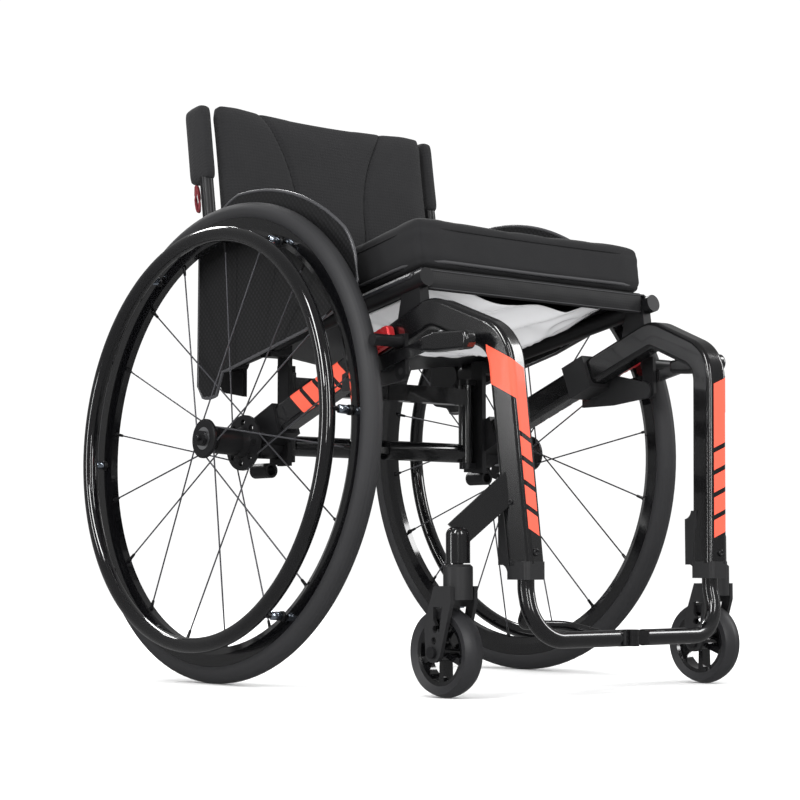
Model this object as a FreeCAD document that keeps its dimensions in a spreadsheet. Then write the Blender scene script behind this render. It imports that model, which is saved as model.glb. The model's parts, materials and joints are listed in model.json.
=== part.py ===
"""Folding active wheelchair as a parametric document of separate pieces.

Frame of the model: millimetres, +Z up, the seat faces -Y, +X is the sitter's left.
The origin is on the floor under the middle of the chair's overall box.
Distances named *_f are measured forward (towards -Y) from the rear axle line.
"""
import FreeCAD, Part
import math
import os
import re
from FreeCAD import Placement, Rotation, Vector
import Sketcher

DIMS = {
    # overall stance
    "axle_y": 82.5, "camber": 3, "track_x": 246,
    # rear wheel
    "wheel_r": 300, "tyre_r": 13, "tyre_wall": 3, "seat_r": 271.3, "bead_r": 279.6,
    "rim_in_r": 256, "rim_half": 10.7, "rim_wall": 2.2,
    "handrim_r": 254.5, "handrim_tube": 9.5, "handrim_out": 38.5, "tab_r": 3,
    "hub_shell": 17, "hub_in": 30, "hub_out": 34, "flange_r": 35, "cap_r": 24.5, "flange_w": 4,
    "window_r": 4, "window_at": 25.5,
    "bearing_r": 14, "bearing_w": 8, "axle_r": 6.35, "running": 0.05, "spoke_r": 1,
    "button_r": 3.5, "button_travel": 4, "receiver_r": 10, "clamp_r": 18,
    # side frame tube
    "frame_x": 184, "frame_w": 28, "frame_deep": 34, "frame_round": 6, "frame_wall": 2.5,
    "frame_start": 25, "frame_rear_z": 312, "axle_z": 297, "apex_f": 331, "apex_z": 436,
    "knee_f": 429, "knee_x": 170,
    "knee_z": 396, "apex_bend": 35, "knee_bend": 42, "foot_x": 152, "foot_f": 442, "leg_z": 147,
    # seat rails
    "rail_x": 190, "rail_r": 11, "rail_wall": 2, "rail_front_f": 320, "rail_front_z": 477,
    "rail_rear_f": -70, "rail_rear_z": 406,
    # folding linkage
    "hinge_f": 5, "hinge_back": 16, "pin_r": 5, "barrel_r": 10, "eye_r": 9, "gate_low": 284,
    "gate_high": 390, "axle_tube_r": 13, "axle_tube_wall": 2.5, "bar_f": 12, "bar_deep": 20,
    "bar_z": 373, "bar_tall": 22, "bar_end_x": 120, "knuckle_gap": 0.3, "upright_x": 162.4,
    "upright_w": 7, "upright_long": 22, "saddle_tall": 16,
    # footrest
    "foot_tube_r": 9.5, "foot_bar_f": 455, "foot_bar_z": 63, "foot_top_z": 146, "foot_bend": 44,
    "foot_drop_z": 118, "foot_pin_r": 2.5, "foot_eye_r": 8, "foot_end_x": 19.5,
    "brace_r": 5.5, "brace_f": 428,
    "brace_z": 80, "collar_z": 130, "collar_w": 29.6, "collar_front": 460, "collar_rear": 424,
    "cover_w": 22, "cover_rear": 411, "cover_z": 211,
    # casters
    "caster_x": 213, "caster_f": 398, "trail": 20, "caster_r": 50, "caster_w": 26,
    "caster_tyre": 13, "caster_hub_r": 10, "housing_r": 13.5, "housing_low": 148, "housing_top": 188,
    "stem_r": 4, "stem_bearing_r": 11, "stem_bearing_w": 7, "crown_r": 16.5, "crown_low": 108,
    "fork_gap": 15, "fork_w": 5, "arm_tall": 42, "arm_thick": 14, "arm_in_f": 436,
    "arm_in_z": 240, "arm_out_z": 181, "arm_over": 11,
    # seat and back
    "sling_half": 190, "sling_thick": 4, "cushion_half": 196,
    "cushion_rear_half": 183, "cushion_front_f": 320, "cushion_rear_f": -76, "cushion_front_z": 494.7,
    "cushion_tilt": 8.6, "cushion_thick": 60, "cushion_round": 14,
    "post_x": 194, "post_r": 9, "post_wall": 1.5, "post_base_f": -86,
    "post_base_z": 419, "recline": 8.5, "post_long": 330, "back_half": 183,
    "back_low": 150, "back_high": 346, "back_thick": 22, "back_front": 17,
    # side guard
    "guard_x": 212.6, "guard_thick": 2.4, "guard_r": 316,
    # wheel lock
    "lock_f": 205, "lock_long": 40, "lock_wall": 5, "lock_plate_x": 202.6, "lock_plate": 4,
    "lever_x": 213.5, "lever_thick": 6, "lever_f": 252, "lever_z": 376, "lever_tip_f": 425,
    "lever_tip_z": 396, "grip_long": 90, "grip_w": 18, "grip_x": 208.5,
    "shoe_f": 296, "shoe_z": 368, "shoe_tip_z": 402, "shoe_x": 207.4,
    "shoe_plate": 5, "shoe_r": 7, "shoe_reach": 252,
    # anti-tip sockets
    "socket_r": 6.5, "socket_outer": 9.5, "socket_long": 34, "socket_drop": 33,
}

SIDES = (("right", -1), ("left", 1))
ALIAS = re.compile("[a-z][a-z0-9_]*")

doc = FreeCAD.newDocument("Wheelchair")
sheet = doc.addObject("Spreadsheet::Sheet", "Sizes")
parts = []


def fill_sheet():
    """One row per driving dimension: the number in column A under its alias."""
    for row, (alias, size) in enumerate(DIMS.items(), start=1):
        sheet.set(f"A{row}", str(size))
        sheet.setAlias(f"A{row}", alias)
    doc.recompute()


def value(text):
    """The number that an expression in the sheet's aliases gives."""
    return float(sheet.evalExpression(str(text)))


def linked(text):
    """The same expression as another object of the document has to write it."""
    return ALIAS.sub(lambda m: "Sizes." + m.group() if m.group() in DIMS else m.group(), text)


def bind(thing, **sizes):
    for name, text in sizes.items():
        thing.setExpression(name, linked(str(text)))


def place(thing, at=("0", "0", "0"), axis=(0, 0, 1), angle="0"):
    """Put a piece at a spot, turned about an axis, all of it tied to the sheet."""
    thing.Placement = Placement(Vector(*(value(c) for c in at)), Rotation(Vector(*axis), value(angle)))
    for name, text in zip("xyz", at):
        thing.setExpression(f"Placement.Base.{name}", linked(str(text)))
    if str(angle) != "0":
        thing.setExpression("Placement.Rotation.Angle", linked(str(angle)))
    return thing


def keep(thing, label):
    """Count a finished object as a sub-part of the chair."""
    thing.Label = label
    parts.append(thing)
    return thing


# ---------------------------------------------------------------- solids from primitives

def cylinder(name, radius, height, at=("0", "0", "0"), axis=(0, 0, 1), angle="0"):
    rod = doc.addObject("Part::Cylinder", name)
    bind(rod, Radius=radius, Height=height)
    return place(rod, at, axis, angle)


def cross_rod(name, radius, start, length, side, f, z):
    """A cylinder along X that starts at distance start from the middle and runs outwards."""
    return cylinder(name, radius, length, (f"{side}*({start})", f"axle_y-({f})", z), (0, 1, 0), 90 * side)


def box(name, size, at):
    block = doc.addObject("Part::Box", name)
    bind(block, Length=size[0], Width=size[1], Height=size[2])
    return place(block, at)


def fuse(name, pieces):
    joined = doc.addObject("Part::MultiFuse", name)
    joined.Shapes = pieces
    joined.Refine = True
    return joined


def cut(name, base, tool):
    left_over = doc.addObject("Part::Cut", name)
    left_over.Base = base
    left_over.Tool = tool
    left_over.Refine = True
    return left_over


def group(name, pieces):
    """Separate solids that are one kind of piece."""
    bundle = doc.addObject("Part::Compound", name)
    bundle.Links = pieces
    return bundle


# ---------------------------------------------------------------- solids from sketches

def plane_of(body, role):
    return next(f for f in body.Origin.OriginFeatures if f.Role == role)


def outline_sketch(body, role, corners):
    """A closed outline on an origin plane.

    Each corner is (x, y) or (x, y, r), in expressions; r makes the edge that leaves the
    corner an arc of radius |r|, bulging to the right of the way it runs when r is positive.
    """
    sketch = body.newObject("Sketcher::SketchObject", body.Name + "Outline")
    sketch.AttachmentSupport = [(plane_of(body, role), "")]
    sketch.MapMode = "FlatFace"
    spots = [Vector(value(c[0]), value(c[1]), 0) for c in corners]
    ends = []
    for i, corner in enumerate(corners):
        a, b = spots[i], spots[(i + 1) % len(spots)]
        bulge = value(corner[2]) if len(corner) == 3 else 0
        if bulge:
            half = (b - a).Length / 2
            right = Vector(b.y - a.y, a.x - b.x, 0).normalize()
            rise = abs(bulge) - math.sqrt(max(bulge**2 - half**2, 0))
            middle = (a + b) / 2 + right * math.copysign(rise, bulge)
            turn_left = Part.Arc(a, middle, b) if bulge > 0 else Part.Arc(b, middle, a)
            sketch.addGeometry(turn_left)
        else:
            sketch.addGeometry(Part.LineSegment(a, b))
        ends.append((1, 2) if bulge >= 0 else (2, 1))
    for i, corner in enumerate(corners):
        following = (i + 1) % len(corners)
        first, last = ends[i]
        sketch.addConstraint(Sketcher.Constraint("Coincident", i, last, following, ends[following][0]))
        across = ("DistanceX", corner[0], spots[i].x)
        upward = ("DistanceY", corner[1], spots[i].y)
        for kind, text, place_now in (across, upward):
            number = sketch.addConstraint(Sketcher.Constraint(kind, -1, 1, i, first, place_now))
            sketch.setExpression(f"Constraints[{number}]", linked(str(text)))
        if len(corner) == 3:
            number = sketch.addConstraint(Sketcher.Constraint("Radius", i, abs(value(corner[2]))))
            sketch.setExpression(f"Constraints[{number}]", linked(f"abs({corner[2]})"))
    return sketch


def turned(name, corners):
    """A body of revolution about Z; corners are (radius, height)."""
    body = doc.addObject("PartDesign::Body", name)
    sketch = outline_sketch(body, "XZ_Plane", corners)
    feature = body.newObject("PartDesign::Revolution", name + "Turn")
    feature.Profile = sketch
    feature.ReferenceAxis = (sketch, ["V_Axis"])
    feature.Angle = 360
    body.Tip = feature
    return body


def slab(name, role, corners, thickness):
    """A plate of even thickness, its middle on an origin plane."""
    body = doc.addObject("PartDesign::Body", name)
    sketch = outline_sketch(body, role, corners)
    feature = body.newObject("PartDesign::Pad", name + "Pad")
    feature.Profile = sketch
    feature.SideType = "Symmetric"
    bind(feature, Length=thickness)
    body.Tip = feature
    return body


def rounded(body, radius, edges):
    """Fillet the numbered edges of the body's last feature."""
    base = body.Tip
    feature = body.newObject("PartDesign::Fillet", body.Name + "Fillet")
    feature.Base = (base, edges)
    bind(feature, Radius=radius)
    body.Tip = feature
    return body


def ring(name, inner, outer, low, high):
    return turned(name, [(inner, low), (outer, low), (outer, high), (inner, high)])


# ---------------------------------------------------------------- bent tubes

def bent_wire(points, bends):
    """A path through corner points, each inner corner eased by its bend radius."""
    edges = []
    start = points[0]
    for before, corner, after, bend in zip(points, points[1:], points[2:], bends):
        back = (before - corner).normalize()
        on = (after - corner).normalize()
        half = back.getAngle(on) / 2
        middle_way = (back + on).normalize()
        reach = bend / math.tan(half)
        enter = corner + back * reach
        leave = corner + on * reach
        crown = corner + middle_way * (bend / math.sin(half) - bend)
        edges.append(Part.makeLine(start, enter))
        edges.append(Part.Arc(enter, crown, leave).toShape())
        start = leave
    edges.append(Part.makeLine(start, points[-1]))
    return Part.Wire(edges)


def round_section(centre, direction, radius):
    return Part.Wire(Part.makeCircle(radius, centre, direction))


def box_section(centre, direction, width, deep, corner):
    """A rounded rectangle across direction, its width along X."""
    across = Vector(1, 0, 0)
    up = direction.cross(across).normalize()
    across = up.cross(direction).normalize()
    straight_w, straight_d = width / 2 - corner, deep / 2 - corner
    edges = []
    turns = ((1, 1), (-1, 1), (-1, -1), (1, -1))
    for number, (a, b) in enumerate(turns):
        c, d = turns[(number + 1) % 4]
        middle = centre + across * (a * straight_w) + up * (b * straight_d)
        along_x = middle + across * (a * corner)
        along_y = middle + up * (b * corner)
        tip = middle + (across * a + up * b) * (corner / math.sqrt(2))
        first, last = (along_x, along_y) if a * b > 0 else (along_y, along_x)
        edges.append(Part.Arc(first, tip, last).toShape())
        after = centre + across * (c * straight_w) + up * (d * straight_d)
        start = after + across * (c * corner) if c * d > 0 else after + up * (d * corner)
        edges.append(Part.makeLine(last, start))
    return Part.Wire(edges)


def swept(path, section):
    return path.makePipeShell([section], True, False)


def shaped(name, shape):
    """A feature whose shape is set directly."""
    feature = doc.addObject("Part::Feature", name)
    feature.Shape = shape
    return feature


def spot(side, x, f, z):
    """A point from sheet expressions, mirrored to a side."""
    return Vector(side * value(x), value(f"axle_y-({f})"), value(z))


# ---------------------------------------------------------------- rear wheels

WHEEL_Z = "((wheel_r-tyre_r)*cos(camber)+tyre_r)"


def wheel_spot(side):
    """The placement of a rear wheel: local Z is its axle, pointing outboard."""
    return {"at": (f"{side}*track_x", "axle_y", WHEEL_Z), "axis": (0, side, 0), "angle": "90-camber"}


def rear_tyre(name, side):
    edge = "sqrt(tyre_r^2-(wheel_r-tyre_r-bead_r)^2)"
    inner = "(tyre_r-tyre_wall)"
    bead = "(rim_half-rim_wall-0.2)"
    lip = f"(wheel_r-tyre_r-sqrt({inner}^2-({bead}-2)^2))"
    body = turned(name, [
        ("seat_r", bead), ("bead_r", bead), ("bead_r", edge, "-tyre_r"), ("wheel_r", "0", "-tyre_r"),
        ("bead_r", f"-{edge}"), ("bead_r", f"-{bead}"), ("seat_r", f"-{bead}"), ("seat_r", f"-({bead}-2)"),
        (lip, f"-({bead}-2)", inner), (f"wheel_r-tyre_r+{inner}", "0", inner), (lip, f"({bead}-2)"),
        ("seat_r", f"({bead}-2)"),
    ])
    keep(place(body, **wheel_spot(side)), name)


def rear_rim(name, side):
    """A deep box-section rim with hooked edges for the tyre's beads."""
    hook = "(rim_half-rim_wall)"
    body = turned(name, [
        ("rim_in_r", "-5"), ("rim_in_r", "5"), ("rim_in_r+9", "rim_half"), ("bead_r-0.3", "rim_half"),
        ("bead_r-0.3", hook), ("seat_r-0.3", hook), ("seat_r-2.5", "0"), ("seat_r-0.3", f"-{hook}"),
        ("bead_r-0.3", f"-{hook}"), ("bead_r-0.3", "-rim_half"), ("rim_in_r+9", "-rim_half"),
    ])
    return keep(place(body, **wheel_spot(side)), name)


def rear_hub(name, side):
    seat = "bearing_w"
    body = turned(name + "Body", [
        ("bearing_r", "-hub_in"), ("flange_r", "-hub_in"), ("flange_r", "-hub_in+flange_w"),
        ("hub_shell+3", "-hub_in+flange_w+2"), ("hub_shell", f"-hub_in+{seat}+6"),
        ("hub_shell", f"hub_out-{seat}-6"), ("cap_r-2", "hub_out-6"), ("cap_r", "hub_out-4"),
        ("cap_r", "hub_out-1"), ("cap_r-1.5", "hub_out"), ("bearing_r", "hub_out"),
        ("bearing_r", f"hub_out-{seat}"), ("axle_r+2", f"hub_out-{seat}"), ("axle_r+2", f"-hub_in+{seat}"),
        ("bearing_r", f"-hub_in+{seat}"),
    ])
    place(body, **wheel_spot(side))
    windows = []
    for step in range(8):
        turn = 45 * step
        window = cylinder(f"{name}Window{step}", "window_r", "flange_w+7", (
            f"window_at*cos({turn})", f"window_at*sin({turn})", "-hub_in-1"))
        windows.append(window)
    tool = group(name + "Windows", windows)
    place(tool, **wheel_spot(side))
    keep(cut(name + "Cut", body, tool), name)


def hub_bearings(name, side):
    inner = ring(name + "In", "axle_r+running", "bearing_r", "-hub_in", "-hub_in+bearing_w")
    outer = ring(name + "Out", "axle_r+running", "bearing_r", "hub_out-bearing_w", "hub_out")
    keep(place(group(name, [inner, outer]), **wheel_spot(side)), name)


def rear_spokes(name, side):
    """Eighteen spokes, laced by turns to the inboard and outboard flanges."""
    spokes = []
    count = 18
    for step in range(count):
        inboard = step % 2 == 0
        rim_angle = 360 / count * step + 5.5
        lean = 50 if step % 4 < 2 else -50
        hub_angle = rim_angle + lean
        hub_r = value("flange_r-4.5") if inboard else value("cap_r-4")
        hub_z = value("-hub_in+flange_w/2") if inboard else value("hub_out-5")
        turn = math.radians(hub_angle)
        start = Vector(hub_r * math.cos(turn), hub_r * math.sin(turn), hub_z)
        rim_r = value("rim_in_r")
        end = Vector(rim_r * math.cos(math.radians(rim_angle)), rim_r * math.sin(math.radians(rim_angle)),
                     math.copysign(1.5, hub_z))
        run = end - start
        rod = doc.addObject("Part::Cylinder", f"{name}Rod{step}")
        bind(rod, Radius="spoke_r")
        rod.Height = run.Length
        rod.Placement = Placement(start, Rotation(Vector(0, 0, 1), run))
        spokes.append(rod)
    keep(place(group(name, spokes), **wheel_spot(side)), name)


def handrim(name, side, rim):
    """The pushing ring with six tabs that stand on the rim."""
    hoop = doc.addObject("Part::Torus", name + "Hoop")
    bind(hoop, Radius1="handrim_r", Radius2="handrim_tube")
    hoop.Placement = Placement()
    place(hoop, ("0", "0", "handrim_out"))
    tabs = []
    for step in range(6):
        turn = 60 * step + 35
        tab = cylinder(f"{name}Tab{step}", "tab_r", "handrim_out-rim_half+4", (
            f"(rim_in_r+6)*cos({turn})", f"(rim_in_r+6)*sin({turn})", "rim_half-4"))
        tabs.append(tab)
    joined = place(fuse(name + "Joined", [hoop] + tabs), **wheel_spot(side))
    keep(cut(name + "Cut", joined, rim), name)


def quick_release(side_name, side):
    """The hollow axle that stays in the frame, and the button that slides in its head."""
    inner_end = "-(track_x-upright_x-upright_w)+4"
    head = "hub_out+5"
    axle = turned(f"{side_name}_axle_body", [
        ("button_r+running", "hub_out-22"), ("button_r+running", head), ("axle_r+3", head),
        ("axle_r+3", "hub_out+0.4"), ("axle_r", "hub_out+0.4"), ("axle_r", inner_end),
        ("0", inner_end), ("0", "hub_out-22"),
    ])
    place(axle, **wheel_spot(side))
    keep(axle, f"{side_name}_quick_release_axle")
    button = turned(f"{side_name}_button_body", [
        ("0", "hub_out-16"), ("button_r", "hub_out-16"), ("button_r", f"{head}+button_travel"),
        ("button_r-1", f"{head}+button_travel+1"), ("0", f"{head}+button_travel+1"),
    ])
    place(button, **wheel_spot(side))
    keep(button, f"{side_name}_quick_release_button")


# ---------------------------------------------------------------- side frames

def side_frame(name, side):
    """One bent tube of rounded box section from the axle clamp over the apex and down the leg."""
    hub = spot(side, "frame_x", "0", "frame_rear_z")
    apex = spot(side, "frame_x", "apex_f", "apex_z")
    knee = spot(side, "knee_x", "knee_f", "knee_z")
    foot = spot(side, "foot_x", "foot_f", "leg_z")
    run = (apex - hub).normalize()
    start = hub + run * value("frame_start")
    path = bent_wire([start, apex, knee, foot], [value("apex_bend"), value("knee_bend")])
    wide, deep, corner, wall = (value(k) for k in ("frame_w", "frame_deep", "frame_round", "frame_wall"))
    outer = swept(path, box_section(start, run, wide, deep, corner))
    inner = swept(path, box_section(start, run, wide - 2 * wall, deep - 2 * wall, corner - wall))
    return keep(shaped(name, outer.cut(inner)), name)


def run_angle():
    """The slope of the frame tube between axle and apex."""
    return "(atan((apex_z-frame_rear_z)/apex_f)/1deg)"


def rail_angle():
    return "(atan((rail_front_z-rail_rear_z)/(rail_front_f-rail_rear_f))/1deg)"


def seat_rail(name, side, frame):
    """The sloping seat tube with its end plug and the saddle that stands it on the frame."""
    length = "sqrt((rail_front_z-rail_rear_z)^2+(rail_front_f-rail_rear_f)^2)"
    at = (f"{side}*rail_x", "axle_y-rail_rear_f", "rail_rear_z")
    outer = cylinder(name + "Outer", "rail_r", length, at, (1, 0, 0), f"90-{rail_angle()}")
    bore = cylinder(name + "Bore", "rail_r-rail_wall", f"{length}-4", at, (1, 0, 0), f"90-{rail_angle()}")
    saddle = slab(name + "Saddle", "YZ_Plane", [
        ("-316", "425"), ("-310", "470"), ("-280", "465"), ("-268", "412"),
    ], "14")
    place(saddle, (f"{side}*(frame_x+3)", "axle_y", "0"))
    solid = fuse(name + "Solid", [outer, saddle])
    trimmed = cut(name + "Trim", solid, frame)
    return keep(cut(name + "Cut", trimmed, bore), name)


def axle_clamp(name, side, frame):
    """The clamp that holds the wheel's receiver, the end of the frame tube and a socket."""
    barrel = cross_rod(name + "Barrel", "clamp_r", "frame_x-15", "32", side, "0", "axle_z")
    sleeve = cross_rod(name + "Sleeve", "receiver_r+3", "upright_x+upright_w", "44", side, "0", "axle_z")
    holder = slab(name + "Holder", "YZ_Plane", [("-46", "-20"), ("-2", "-22"), ("-2", "18"), ("-46", "20")],
                  "frame_w+6")
    place(holder, (f"{side}*frame_x", "axle_y", "frame_rear_z"), (1, 0, 0), f"-{run_angle()}")
    socket_z = "axle_z-socket_drop"
    socket = cylinder(name + "Socket", "socket_outer", "socket_long",
                      (f"{side}*frame_x", "axle_y+4-socket_long/2", socket_z), (1, 0, 0), "-90")
    solid = fuse(name + "Solid", [barrel, sleeve, holder, socket])
    wheel_bore = cylinder(name + "Bore", "axle_r+running", "120", **wheel_spot(side))
    wheel_bore.setExpression("Placement.Base.x", linked(f"{side}*(track_x-100*cos(camber))"))
    wheel_bore.setExpression("Placement.Base.z", linked(f"{WHEEL_Z}-100*sin(camber)"))
    socket_bore = cylinder(name + "SocketBore", "socket_r", "socket_long+2",
                           (f"{side}*frame_x", "axle_y+3-socket_long/2", socket_z), (1, 0, 0), "-90")
    tools = fuse(name + "Tools", [wheel_bore, socket_bore])
    bored = cut(name + "Bored", solid, tools)
    return keep(cut(name + "Cut", bored, frame), name)


def hinge_upright(name, side, rail, clamp):
    """The plate between axle clamp and rail, with the lugs and pintle that the gate swings on."""
    lean = f"(rail_front_z-(rail_front_f-hinge_f-11)*tan({rail_angle()}))"
    plate = box(name + "Plate", ("upright_w", "upright_long", f"{lean}-270"),
                (f"{side}*(upright_x+upright_w/2)-upright_w/2", "axle_y-hinge_f-upright_long", "270"))
    saddle = box(name + "Saddle", ("rail_x-upright_x+6", "upright_long", "saddle_tall"),
                 (f"{side}*(rail_x+6+upright_x)/2-(rail_x+6-upright_x)/2", "axle_y-hinge_f-upright_long",
                  f"{lean}+1-saddle_tall"))
    bridge = box(name + "Bridge", ("upright_w", "upright_long+8", "12"),
                 (f"{side}*(upright_x+upright_w/2)-upright_w/2", "axle_y-hinge_f-upright_long+8", "272"))
    solids = [plate, saddle, bridge]
    for tag, low, tall in (("Low", "gate_low-8-knuckle_gap", "8"), ("High", "gate_high+knuckle_gap", "8")):
        lug = box(f"{name}Lug{tag}", ("upright_x-foot_x+1", "eye_r*2", tall),
                  (f"{side}*(upright_x+foot_x+1)/2-(upright_x-foot_x+1)/2", "axle_y-hinge_f-eye_r", low))
        eye = cylinder(f"{name}Eye{tag}", "eye_r", tall, (f"{side}*foot_x", "axle_y-hinge_f", low))
        solids += [lug, eye]
    pintle = cylinder(name + "Pintle", "pin_r", "gate_high-gate_low+16+2*knuckle_gap",
                      (f"{side}*foot_x", "axle_y-hinge_f", "gate_low-8-knuckle_gap"))
    solid = fuse(name + "Solid", solids + [pintle])
    clear_rail = cut(name + "OffRail", solid, rail)
    keep(cut(name + "Cut", clear_rail, clamp), name)


def leg_collar(name, side, frame, arm):
    """The moulded foot of the leg: a bush for the footrest and a round-topped cover behind the tube."""
    half = "collar_w/2"
    ease = "6"
    block = slab(name + "Block", "XY_Plane", [
        (f"-{half}", f"-(collar_front-foot_f)+{ease}", ease), (f"-{half}+{ease}", "-(collar_front-foot_f)"),
        (f"{half}-{ease}", "-(collar_front-foot_f)", ease), (half, f"-(collar_front-foot_f)+{ease}"),
        (half, f"(foot_f-collar_rear)-{ease}", ease), (f"{half}-{ease}", "foot_f-collar_rear"),
        (f"-{half}+{ease}", "foot_f-collar_rear", ease), (f"-{half}", f"(foot_f-collar_rear)-{ease}"),
    ], "leg_z+3-collar_z")
    place(block, (f"{side}*foot_x", "axle_y-foot_f", "(leg_z+3+collar_z)/2"))
    cover = slab(name + "Cover", "YZ_Plane", [
        ("-collar_rear-6", "collar_z+6"), ("-collar_rear-6", "cover_z"), ("-cover_rear-10", "cover_z", "11"),
        ("-cover_rear", "cover_z-10"), ("-cover_rear", "collar_z+16", "11"), ("-collar_rear-2", "collar_z+6"),
    ], "cover_w")
    place(cover, (f"{side}*(foot_x+2)", "axle_y", "0"))
    solid = fuse(name + "Solid", [block, cover])
    bush_foot = (f"{side}*foot_x", "axle_y-foot_f", "collar_z-5")
    bush = cylinder(name + "Bush", "foot_tube_r+running", "30", bush_foot)
    bushed = cut(name + "Bushed", solid, bush)
    off_frame = cut(name + "OffFrame", bushed, frame)
    keep(cut(name + "Cut", off_frame, arm), name)


def side_bolts(name, side, rail):
    """Identical cap screws through the rail, and the two stand-offs of the side guard."""
    heads = []
    slope = f"tan({rail_angle()})"
    for number, f in enumerate(("-12", "31", "77")):
        z = f"rail_front_z-(rail_front_f-({f}))*{slope}"
        heads.append(cross_rod(f"{name}Head{number}", "4.5", "rail_x+rail_r-3", "5.5", side, f, z))
    for number, f in enumerate(("-36", "130")):
        z = f"rail_front_z-(rail_front_f-({f}))*{slope}"
        heads.append(cross_rod(f"{name}Post{number}", "5", "rail_x+rail_r-4", "guard_x-rail_x-rail_r+4",
                               side, f, z))
    bundle = group(name + "Group", heads)
    keep(cut(name + "Cut", bundle, rail), name)


# ---------------------------------------------------------------- casters

def caster_arm(name, side, frame):
    """The flat arm welded to the leg, and the stem housing at its end."""
    turn_y = "(arm_in_f-caster_f)"
    turn_x = "(caster_x-160)"
    reach = f"sqrt({turn_x}^2+{turn_y}^2)"
    drop = "(arm_in_z-arm_out_z)"
    tall = "arm_tall/2"
    plate = slab(name + "Plate", "XZ_Plane", [
        ("0", f"-{tall}"), ("0", tall), (f"{reach}+arm_over", f"-{drop}+{tall}-arm_over"),
        (f"{reach}+arm_over-9", f"-{drop}+1"), (f"{reach}-6", f"-{drop}-{tall}+6"),
    ], "arm_thick")
    heading = math.degrees(math.atan2(value(turn_y), side * value(turn_x)))
    place(plate, (f"{side}*160", "axle_y-arm_in_f", "arm_in_z"), (0, 0, 1), heading)
    at = (f"{side}*caster_x", "axle_y-caster_f", "0")
    shell = place(turned(name + "Housing", [
        ("0", "housing_low"), ("housing_r", "housing_low"), ("housing_r", "housing_top-8", "9"),
        ("housing_r-7", "housing_top"), ("0", "housing_top"),
    ]), at)
    seat = "stem_bearing_w"
    bore = place(turned(name + "Bore", [
        ("0", "housing_low-1"), ("stem_bearing_r", "housing_low-1"),
        ("stem_bearing_r", f"housing_low+1+{seat}"), ("stem_bearing_r-3", f"housing_low+1+{seat}"),
        ("stem_bearing_r-3", f"housing_top-14-{seat}"),
        ("stem_bearing_r", f"housing_top-14-{seat}"), ("stem_bearing_r", "housing_top-14"),
        ("stem_bearing_r-2", "housing_top-14"), ("stem_bearing_r-2", "housing_top-4"), ("0", "housing_top-4"),
    ]), at)
    solid = fuse(name + "Solid", [plate, shell])
    bored = cut(name + "Bored", solid, bore)
    return keep(cut(name + "Cut", bored, frame), name)


def caster_stem_bearings(name, side):
    low = ring(name + "Low", "stem_r+running", "stem_bearing_r", "housing_low+1",
               "housing_low+1+stem_bearing_w")
    high = ring(name + "High", "stem_r+running", "stem_bearing_r", "housing_top-14-stem_bearing_w",
                "housing_top-14")
    keep(place(group(name, [low, high]), (f"{side}*caster_x", "axle_y-caster_f", "0")), name)


def caster_fork(name, side):
    """Crown, stem and two slotted cheeks with spare axle holes."""
    at = (f"{side}*caster_x", "axle_y-caster_f", "0")
    crown = place(turned(name + "Crown", [
        ("0", "crown_low"), ("crown_r", "crown_low"), ("crown_r", "housing_low-4"),
        ("crown_r-3", "housing_low-1"), ("stem_r+2", "housing_low-1"), ("stem_r+2", "housing_low+0.5"),
        ("stem_r", "housing_low+0.5"), ("stem_r", "housing_top-13.5"), ("stem_r+3", "housing_top-13.5"),
        ("stem_r+3", "housing_top-7"), ("0", "housing_top-7"),
    ]), at)
    yoke = box(name + "Yoke", ("2*(fork_gap+fork_w)", "26", "15"),
               (f"{side}*caster_x-fork_gap-fork_w", "axle_y-caster_f-8", "crown_low"))
    cheek_line = [
        ("-10", "crown_low+15"), ("-10", "crown_low-4"), ("trail-12", "caster_r-3", "13"),
        ("trail+12", "caster_r-3"), ("trail+14", "caster_r+30"), ("18", "crown_low+15"),
    ]
    pieces = [crown, yoke]
    for tag, away in (("In", -1), ("Out", 1)):
        cheek = slab(name + "Cheek" + tag, "YZ_Plane", cheek_line, "fork_w")
        x = f"{side}*caster_x+{away}*(fork_gap+fork_w/2)"
        pieces.append(place(cheek, (x, "axle_y-caster_f", "0")))
    solid = fuse(name + "Solid", pieces)
    tools = []
    for number in range(3):
        z = f"caster_r+{13 * number}"
        y = f"axle_y-caster_f+trail-{2 * number}"
        start = (f"{side}*caster_x-30", y, z)
        tools.append(cylinder(f"{name}Hole{number}", "stem_r", "60", start, (0, 1, 0), 90))
    slot = slab(name + "Slot", "YZ_Plane", [
        ("trail-13", "caster_r+36"), ("trail-11", "caster_r+22"), ("trail-1", "caster_r+36"),
        ("trail-1", "caster_r+50"), ("trail-16", "caster_r+50"),
    ], "60")
    tools.append(place(slot, (f"{side}*caster_x", "axle_y-caster_f", "0")))
    keep(cut(name + "Cut", solid, fuse(name + "Tools", tools)), name)


def caster_spot(side):
    return {"at": (f"{side}*caster_x", "axle_y-caster_f+trail", "caster_r"), "axis": (0, 1, 0), "angle": "90"}


def caster_tyre(name, side):
    half = "caster_w/2"
    body = turned(name, [
        ("caster_r-caster_tyre", f"-{half}+3"), ("caster_r-4", f"-{half}", "30"), ("caster_r", "0", "30"),
        ("caster_r-4", half), ("caster_r-caster_tyre", f"{half}-3"),
    ])
    keep(place(body, **caster_spot(side)), name)


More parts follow.
